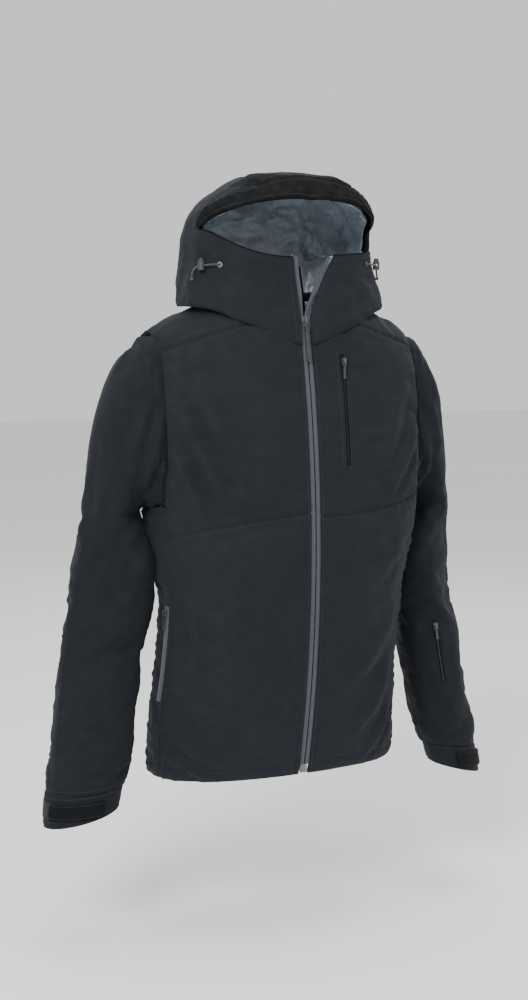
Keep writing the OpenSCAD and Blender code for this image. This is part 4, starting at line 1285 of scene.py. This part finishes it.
# ---- cuffs
class JACKET_OT_cuffs(bpy.types.Operator):
    """Cuff bands, loop patches and tabs"""

    bl_idname = "jacket.cuffs"
    bl_label = "Cuffs"

    def execute(self, context):
        for side, word in SIDES:
            self.band(side, word)
            self.strip("loop_patch_" + word, side, -92, 40, 12, 24, CUFF_IN - 1.8, CUFF_IN - 0.7,
                       "patch",
                       "lower_arm_" + word, "patch", "cuff_patch_" + word)
            self.strip("tab_" + word + "_strap", side, -108, -22, 12, 24, CUFF_IN - 4.6,
                       CUFF_IN - 2.1, "trim",
                       "tab_" + word, "trim", "cuff_tab_" + word)
        return {"FINISHED"}

    def band(self, side, word):
        angle = np.linspace(0, 360, 120, endpoint=False)[None, :]
        t = np.linspace(0, 1, 22)[:, None]
        top = cuff_top(angle) + 2
        z = top - t * (CUFF_LEN + 2 + 8 * np.cos(np.radians(angle)))
        grid = mirrored(arm_pt(angle + 0 * t, z, CUFF_IN + 0 * z), side)
        obj = cloth_mesh("cuff_band_" + word, [(grid, True)])
        face_outwards(obj, (side * 330, 10, -780))
        subdivide(obj)
        p, n = coords(obj), normals(obj)
        q = p * (side, 1, 1)
        h = 0.7 * creases(q, 26, 101, (1, 1, 0.6)) + 0.3
        theta = np.degrees(np.arctan2(q[:, 1] - 12, q[:, 0] - 327))
        edge = cuff_top(theta)
        h -= 1.6 * np.exp(-(((q[:, 2] - edge) / 2.2) ** 2))
        low = edge - CUFF_LEN - 8 * np.cos(np.radians(theta))
        h -= 1.8 * np.exp(-(((q[:, 2] - low) / 3.5) ** 2))
        h -= 0.6 * np.exp(-(((q[:, 2] - low - 8) / 1.4) ** 2))
        set_coords(obj, p + n * h[:, None])
        thicken(obj, 4.5)
        # the cuff band takes the darker sleeve material, painted shade
        paint(obj, "sleeve")
        finish_cloth(obj, "lower_arm_" + word, "shell", "cuff_" + word, fill=0.4)

    def strip(self, name, side, a0, a1, drop, height, d0, d1, material, body, slot, node):
        """Flat strip round the cuff with rounded free end"""
        angle = np.linspace(a0, a1, 60)[None, :]
        t = np.linspace(0, 1, 14)[:, None]
        top = cuff_top(angle) - drop
        z = top - height * (1 - t) + 0 * angle
        mid = top - height / 2
        ends = np.clip((angle - (a1 - 7)) / 7, 0, 1)
        squeeze = 1 - 0.35 * ends**2
        z = mid + (z - mid) * squeeze
        grid = mirrored(arm_pt(angle + 0 * t, z, d0 + 0.2), side)
        obj = cloth_mesh(name, [(grid, False)])
        face_outwards(obj, (side * 330, 10, -780))
        thicken(obj, d1 - d0 - 0.2)
        m = obj.modifiers.new("edge", "BEVEL")
        m.width = 0.0004
        m.segments = 2
        apply_modifiers(obj)
        for f in obj.data.polygons:
            f.use_smooth = True
        paint(obj, material)
        finish_cloth(obj, body, slot, node)


# ---- zips
def chain_y(z):
    """Middle line of the zip, which comes forward to the collar's edge where it stands open"""
    front = curve(HOOD_LINE, z)[..., 1] + 1.5
    return zip_y(z) + ease((z - APEX_Z) / 36) * (front - zip_y(z))


def zip_line(side, x, d, z0, z1, count=160):
    z = np.linspace(z0, z1, count)
    o = open_x(side, z)
    return mirrored(np.stack([x + o, chain_y(z) + d, z], -1), side)


def group_input(tree, name, kind, value):
    socket = tree.interface.new_socket(name=name, in_out="INPUT", socket_type=kind)
    socket.default_value = value
    return socket


def repeat_tree(name):
    """Geometry Nodes: set one small piece at even steps along a line, turned with the line"""
    tree = bpy.data.node_groups.new(name, "GeometryNodeTree")
    tree.interface.new_socket(name="Line", in_out="INPUT", socket_type="NodeSocketGeometry")
    sockets = {
        "step": group_input(tree, "Step", "NodeSocketFloat", 0.004),
        "length": group_input(tree, "Length", "NodeSocketFloat", 0.003),
        "width": group_input(tree, "Width", "NodeSocketFloat", 0.0006),
        "height": group_input(tree, "Height", "NodeSocketFloat", 0.0004),
        "material": tree.interface.new_socket(name="Finish", in_out="INPUT",
                                              socket_type="NodeSocketMaterial"),
    }
    tree.interface.new_socket(name="Pieces", in_out="OUTPUT", socket_type="NodeSocketGeometry")
    new, link = tree.nodes.new, tree.links.new
    start, end = new("NodeGroupInput"), new("NodeGroupOutput")
    to_curve, steps = new("GeometryNodeMeshToCurve"), new("GeometryNodeResampleCurve")
    points = new("GeometryNodeInstanceOnPoints")
    steps.mode = "LENGTH"
    ball, stretch = new("GeometryNodeMeshUVSphere"), new("ShaderNodeCombineXYZ")
    ball.inputs["Segments"].default_value = 6
    ball.inputs["Rings"].default_value = 4
    ball.inputs["Radius"].default_value = 0.5
    tangent, normal = new("GeometryNodeInputTangent"), new("GeometryNodeInputNormal")
    turn = new("FunctionNodeAxesToRotation")
    turn.primary_axis, turn.secondary_axis = "X", "Z"
    real, finish = new("GeometryNodeRealizeInstances"), new("GeometryNodeSetMaterial")
    smooth = new("GeometryNodeSetShadeSmooth")
    link(start.outputs["Line"], to_curve.inputs["Mesh"])
    link(to_curve.outputs["Curve"], steps.inputs["Curve"])
    link(start.outputs["Step"], steps.inputs["Length"])
    link(steps.outputs["Curve"], points.inputs["Points"])
    link(ball.outputs["Mesh"], points.inputs["Instance"])
    link(tangent.outputs["Tangent"], turn.inputs["Primary Axis"])
    link(normal.outputs["Normal"], turn.inputs["Secondary Axis"])
    link(turn.outputs["Rotation"], points.inputs["Rotation"])
    for axis, key in zip("XYZ", ("Length", "Width", "Height")):
        link(start.outputs[key], stretch.inputs[axis])
    link(stretch.outputs["Vector"], points.inputs["Scale"])
    link(points.outputs["Instances"], real.inputs["Geometry"])
    link(real.outputs["Geometry"], smooth.inputs["Geometry"])
    link(smooth.outputs["Geometry"], finish.inputs["Geometry"])
    link(start.outputs["Finish"], finish.inputs["Material"])
    link(finish.outputs["Geometry"], end.inputs["Pieces"])
    return tree, {k: v.identifier for k, v in sockets.items()}


TREES = {}


def repeated(name, lines, step, length, width, height, material, body, slot, node_names=()):
    """Small pieces along one or more lines, in millimetres, from the Geometry Nodes tree"""
    if "repeat" not in TREES:
        TREES["repeat"] = repeat_tree("Row of pieces")
    tree, ids = TREES["repeat"]
    bm = bmesh.new()
    for line in lines:
        verts = [bm.verts.new(Vector(p) * MM) for p in line]
        for a, b in zip(verts[:-1], verts[1:]):
            bm.edges.new((a, b))
    mesh = bpy.data.meshes.new(name)
    bm.to_mesh(mesh)
    bm.free()
    obj = new_object(name, mesh)
    m = obj.modifiers.new("row", "NODES")
    m.node_group = tree
    for key, value in (("step", step), ("length", length), ("width", width), ("height", height)):
        m[ids[key]] = value * MM
    m[ids["material"]] = MATERIALS[material]
    apply_modifiers(obj)
    finish_cloth(obj, body, slot, *node_names)
    return obj


class JACKET_OT_front_zip(bpy.types.Operator):
    """Front zip: tapes, teeth and the flap behind it"""

    bl_idname = "jacket.front_zip"
    bl_label = "Front zip"

    def execute(self, context):
        low, top = HEM_Z + 18, OPENING_TOP - 2
        for side, word in SIDES:
            z = np.linspace(low, top, 260)[:, None]
            x = np.linspace(0.8, 7.9, 12)[None, :]
            o = open_x(side, z)
            rail = 1.5 * np.exp(-(((x - 3.0) / 1.7) ** 2))
            grid = mirrored(np.stack([x + o, chain_y(z) + 1.2 - rail + 0 * x, z + 0 * x], -1), side)
            tape = cloth_mesh("zip_tape_cloth_" + word, [(grid, False)])
            face_outwards(tape, (0, 400, -350))
            thicken(tape, 0.9)
            paint(tape, "tape")
            finish_cloth(tape, "torso", "zip_tape", "zip_tape_" + word)
            repeated("zip_teeth_" + word, [zip_line(side, 2.6, 4.0, low, top - 4, 400)],
                     sizes().tooth_pitch / MM,
                     1.5, 4.4, 2.2, "coil", "torso", "coil", ["zip_coil_" + word])
        self.flap()
        return {"FINISHED"}

    def flap(self):
        z = np.linspace(HEM_Z + 14, 44, 200)[:, None]
        x = np.linspace(-24, 26, 16)[None, :]
        wide = np.where((z > APEX_Z) & (x > 0), 0.35, 1.0)
        crimp = 0.6 * np.sin(z / 21.0) * np.sin(x / 9.0)
        tuck = np.where((x < -13) & (z > -80), 2.5, 0)
        grid = np.stack([x * wide, zip_y(z) + 9.8 + np.abs(x) * 0.02 + tuck + crimp, z + 0 * x], -1)
        obj = cloth_mesh("storm_flap_cloth", [(grid, False)])
        face_outwards(obj, (0, 400, -350))
        thicken(obj, 1.1)
        paint(obj, "trim")
        finish_cloth(obj, "torso", "trim", "storm_flap")


def band_line(points_of, z0, z1, count=60):
    return np.array([points_of(z) for z in np.linspace(z0, z1, count)])


class JACKET_OT_pocket_zips(bpy.types.Operator):
    """Chest, hand and sleeve pocket zips"""

    bl_idname = "jacket.pocket_zips"
    bl_label = "Pocket zips"

    def execute(self, context):
        self.zip("chest_zip_cloth", lambda z: front_pt(CHEST_ZIP_X, z), -257, -89, 10.5,
                 (0.17, -0.985, 0), "trim", "torso",
                 "trim", "chest_zip")
        for side, word in SIDES:
            out = (side * 0.995, -0.1, 0)
            self.zip("hand_zip_cloth_" + word, lambda z, s=side: body_pt(s * HAND_ZIP_PHI, z), -619,
                     -471, 12, out, "tape",
                     "torso", "zip_tape", "hand_zip_" + word)
        self.zip("pass_zip_cloth", lambda z: arm_pt(PASS_ZIP_ANGLE, z), -632, -529, 9,
                 (-0.21, -0.97, 0), "trim",
                 "lower_arm_left", "trim", "pass_zip")
        return {"FINISHED"}

    def zip(self, name, at, z0, z1, width, out, material, body, slot, node):
        """A flat tape with a raised middle row and a row of teeth"""
        out = np.array(out) / np.linalg.norm(out)
        across = np.cross(out, (0, 0, 1))
        x = np.linspace(-0.5, 0.5, 9)
        rise = 0.7 + 1.2 * np.exp(-((x / 0.16) ** 2))
        grid = np.array([[at(z) + across * (v * width) + out * r for v, r in zip(x, rise)]
                         for z in np.linspace(z0, z1, 60)])
        obj = cloth_mesh(name, [(grid, False)])
        if np.sum(normals(obj) @ out) < 0:
            obj.data.flip_normals()
        thicken(obj, 0.8)
        paint(obj, material)
        finish_cloth(obj, body, slot, node)
        line = band_line(lambda z: at(z) + out * 2.0, z0 + 2, z1 - 2)
        repeated(name + "_teeth", [line], 1.6, 0.9, 3.0, 0.9, "coil", body, "coil")


# ---- cords, locks and small hardware
CORD_ROUTES = {
    1: [(44, 50, 0.6), (45.5, 50, 3.6), (48, 50, 5.6), (52, 49.5, 6.2), (56, 49, 6.2),
        (60, 48, 6.2),
        (64, 46, 5.6), (66.5, 42, 4.8), (67.5, 36, 4), (67.5, 30, 3.2)],
    -1: [(44, 44, 0.6), (45.5, 44, 3.6), (48, 44, 5.6), (52, 43.5, 6.2), (56, 43, 6.2),
         (60, 42, 6.2),
         (64, 40, 5.6), (66.5, 36, 4.8), (67.5, 30, 4), (67.5, 24, 3.2)],
}


def off_collar(angle, z, stand_off):
    p, q = hood_pt(angle, z), hood_pt(angle + 1, z)
    t = (q - p) / np.linalg.norm(q - p)
    return p + np.array([t[1], -t[0], 0]) * (stand_off + 0.8)


class JACKET_OT_cords(bpy.types.Operator):
    """Elastic cords of the hood's edge, each with its knot"""

    bl_idname = "jacket.cords"
    bl_label = "Hood cords"

    def execute(self, context):
        for side, word in SIDES:
            route = mirrored(np.array([off_collar(*r) for r in CORD_ROUTES[side]]), side)
            cord = tube("cord_" + word, route, 1.4, "cord", "torso", "cord", 10)
            knot = self.knot("cord_knot_" + word, route[-1] - (0, 0, 1.2))
            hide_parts("hood_cord_" + word)
        return {"FINISHED"}

    def knot(self, name, centre):
        t = np.linspace(0, 2 * math.pi, 40)
        line = np.stack([1.5 * np.sin(t) + 0.9 * np.sin(2 * t),
                         1.3 * np.cos(t) - 0.8 * np.cos(2 * t),
                         -1.1 * np.sin(3 * t)], -1) + centre
        return tube(name, line, 1.15, "cord", "torso", "cord", 8)


NODE_FINISHES = {
    "metal": ["zip_ends", "zip_slider", "chest_zip_slider", "hand_zip_slider_right",
              "hand_zip_slider_left",
              "pass_zip_slider", "eyelets"],
    "moulded": ["zip_pull", "chest_zip_pull", "hand_zip_pull_right", "hand_zip_pull_left",
                "pass_zip_pull",
                "cord_locks", "lock_button_right", "lock_button_left"],
    "trim": ["hang_loop"],
}


class JACKET_OT_hardware(bpy.types.Operator):
    """Finishes of the sliders, pulls, eyelets, cord locks and hanging loop"""

    bl_idname = "jacket.hardware"
    bl_label = "Hardware"

    def execute(self, context):
        for finish, nodes in NODE_FINISHES.items():
            for node in nodes:
                for material_slot in NODES[node].material_slots:
                    material_slot.material = MATERIALS[finish]
        return {"FINISHED"}


# ---- stitching
class JACKET_OT_stitching(bpy.types.Operator):
    """Rows of topstitching, laid on the finished cloth"""

    bl_idname = "jacket.stitching"
    bl_label = "Stitching"

    def execute(self, context):
        below = (0, 0, -4)
        body_rows = [hem_line(17)] + [front_line(k * 12.2, HEM_Z + 3, -62) for k in (-1, 1)]
        body_rows += [chest_seam(k) + below for k in (-1, 1)] + [yoke_front(k) + below
                                                                 for k in (-1, 1)]
        body_rows += [yoke_back() + below] + [front_line(x, -262, -82) for x in (49, 63.5)]
        body_rows += [side_seam(k, 82) for k in (-1, 1)]
        phi = np.linspace(-SIDE_PHI, SIDE_PHI, 120)
        hood_rows = [hood_pt(phi, brim_low(phi) + r) for r in (5, 35)]
        for side in (-1, 1):
            u = np.linspace(0.03, 1, 60)
            z = collar_top(side)(u) - 7
            edge = collar_phi(side, z)
            hood_rows.append(hood_pt(side * (edge + (SIDE_PHI - edge) * u), z))
            z = np.linspace(-66, collar_top(side)(0) - 8, 60)
            hood_rows.append(hood_pt(side * (collar_phi(side, z) + 1.9), z))
        self.row("stitches_body", "body_shell", body_rows, "torso")
        self.row("stitches_hood", "hood_shell", hood_rows, HOOD_BODIES)
        for side, word in SIDES:
            angle = np.linspace(0, 360, 160)
            ring = [mirrored(arm_pt(angle, cuff_top(angle) + 5), side)]
            drop = CUFF_LEN + 8 * np.cos(np.radians(angle))
            low = [mirrored(arm_pt(angle, cuff_top(angle) - r * drop / CUFF_LEN, 1.5), side)
                   for r in (5, CUFF_LEN - 8)]
            self.row("stitches_sleeve_" + word, "sleeve_lower_" + word, ring, "lower_arm_" + word)
            self.row("stitches_cuff_" + word, "cuff_band_" + word, low, "lower_arm_" + word)
            strap = []
            for r in (14.5, 33.5):
                a = np.linspace(-104, -28, 60)
                strap.append(mirrored(arm_pt(a, cuff_top(a) - r, CUFF_IN - 4.6), side))
            self.row("stitches_tab_" + word, "tab_" + word + "_strap", strap, "tab_" + word)
        return {"FINISHED"}

    def row(self, name, cloth, lines, body):
        """Drop each line onto the cloth, then stitch along it"""
        target = bpy.data.objects[cloth]
        laid = []
        for line in lines:
            length = np.linalg.norm(np.diff(line, axis=0), axis=1).sum()
            line = resample(line, max(8, int(length / 4)))
            out = []
            for p in line:
                hit, where, normal, _ = target.closest_point_on_mesh(Vector(p) * MM, distance=0.02)
                out.append(np.array(where + normal * 0.00005) / MM if hit else p)
            laid.append(np.array(out))
        s = sizes()
        repeated(name, laid, s.stitch_gap / MM, s.stitch / MM, 0.75, 0.6, "thread", body, "trim")


# ---- stage
class JACKET_OT_materials(bpy.types.Operator):
    """All fabrics, plastics and metals"""

    bl_idname = "jacket.materials"
    bl_label = "Materials"

    def execute(self, context):
        c = colours()
        MATERIALS["shell"] = shell_fabric("Shell fabric", tuple(c.shell))
        # the sleeve material is the shell fabric made darker: painted shade on the sleeves and
        # cuffs
        MATERIALS["sleeve"] = shell_fabric("Sleeve fabric", tuple(c.sleeve))
        # the dark trim material is the trims' own colour and also the painted shade on the brim's
        # band
        MATERIALS["trim"] = shell_fabric("Dark trim fabric", tuple(c.trim), 0.0009, 0.0, 0.75)
        MATERIALS["lining"] = taffeta("Lining taffeta", tuple(c.lining))
        MATERIALS["tape"] = ribbed_tape("Zip tape", tuple(c.tape))
        MATERIALS["patch"] = loop_pile("Loop pile", tuple(c.patch))
        MATERIALS["metal"] = metal("Gunmetal", (0.16, 0.17, 0.18))
        MATERIALS["moulded"] = moulded("Moulded plastic", (0.02, 0.022, 0.024))
        MATERIALS["coil"] = moulded("Zip teeth", (0.03, 0.034, 0.038), 0.42)
        MATERIALS["cord"] = braided("Elastic cord", (0.02, 0.021, 0.023))
        MATERIALS["thread"] = moulded("Sewing thread", (0.016, 0.0185, 0.022), 0.65)
        return {"FINISHED"}


class JACKET_OT_stage(bpy.types.Operator):
    """Pale floor, soft studio light and the camera"""

    bl_idname = "jacket.stage"
    bl_label = "Stage"

    def execute(self, context):
        scene = context.scene
        world = bpy.data.worlds.new("Studio")
        world.use_nodes = True
        world.node_tree.nodes["Background"].inputs["Color"].default_value = (1, 1, 1, 1)
        world.node_tree.nodes["Background"].inputs["Strength"].default_value = 0.9
        scene.world = world
        bpy.ops.mesh.primitive_plane_add(size=30, location=(0, 0, -1.0))
        floor = context.object
        floor.name = "floor"
        n = Nodes("Pale floor", (0.85, 0.85, 0.85), 0.8)
        n.toned(n.noise(0.6, 2.0), [(0.2, (0.84, 0.84, 0.84)), (0.8, (0.87, 0.87, 0.87))])
        floor.data.materials.append(n.material)
        for name, size, power, place in (
            ("key", 1.4, 150, (-2.3, -2.2, 1.7)), ("fill", 2.4, 14, (2.6, -2.6, 0.4)),
            ("top", 1.8, 60, (0.3, -0.2, 2.6)),
            ("back", 1.8, 16, (1.6, 2.6, 1.2)),
        ):
            light = bpy.data.lights.new(name, "AREA")
            light.size, light.energy = size, power
            lamp = bpy.data.objects.new(name, light)
            lamp.location = place
            aim = Vector((0, 0, -0.25)) - Vector(place)
            lamp.rotation_euler = aim.to_track_quat("-Z", "Y").to_euler()
            scene.collection.objects.link(lamp)
        self.camera(scene)
        return {"FINISHED"}

    def camera(self, scene):
        azimuth, elevation = math.radians(-25), math.radians(6)
        right = Vector((math.cos(azimuth), math.sin(azimuth), 0))
        back = Vector((math.sin(azimuth) * math.cos(elevation),
                       -math.cos(azimuth) * math.cos(elevation), math.sin(elevation)))
        target = Vector((0, 0, -0.319)) - 0.025 * right
        data = bpy.data.cameras.new("camera")
        data.lens, data.sensor_width = 54.7, 36
        cam = bpy.data.objects.new("camera", data)
        cam.location = target + back * 2.4
        cam.rotation_euler = (-back).to_track_quat("-Z", "Y").to_euler()
        scene.collection.objects.link(cam)
        scene.camera = cam


class JACKET_PT_panel(bpy.types.Panel):
    """Lists the steps of the jacket in the sidebar"""

    bl_label = "Jacket"
    bl_idname = "JACKET_PT_panel"
    bl_space_type = "VIEW_3D"
    bl_region_type = "UI"
    bl_category = "Jacket"

    def draw(self, context):
        for group in (context.scene.jacket_sizes, context.scene.jacket_colours):
            for key in group.__annotations__:
                self.layout.prop(group, key)
        for step in STEPS:
            self.layout.operator(step.bl_idname)


STEPS = (
    JACKET_OT_materials, JACKET_OT_stage, JACKET_OT_cords, JACKET_OT_body, JACKET_OT_body_lining,
    JACKET_OT_hood,
    JACKET_OT_sleeves, JACKET_OT_cuffs, JACKET_OT_front_zip, JACKET_OT_pocket_zips,
    JACKET_OT_hardware,
    JACKET_OT_stitching,
)
CLASSES = (JacketColours, JacketSizes, *STEPS, JACKET_PT_panel)


def register():
    for cls in CLASSES:
        bpy.utils.register_class(cls)
    bpy.types.Scene.jacket_colours = bpy.props.PointerProperty(type=JacketColours)
    bpy.types.Scene.jacket_sizes = bpy.props.PointerProperty(type=JacketSizes)


def unregister():
    del bpy.types.Scene.jacket_sizes
    del bpy.types.Scene.jacket_colours
    for cls in reversed(CLASSES):
        bpy.utils.unregister_class(cls)


def main():
    register()
    for step in STEPS:
        group, name = step.bl_idname.split(".")
        if getattr(getattr(bpy.ops, group), name)() != {"FINISHED"}:
            raise RuntimeError(step.bl_label + " did not finish")


if __name__ == "__main__":
    main()
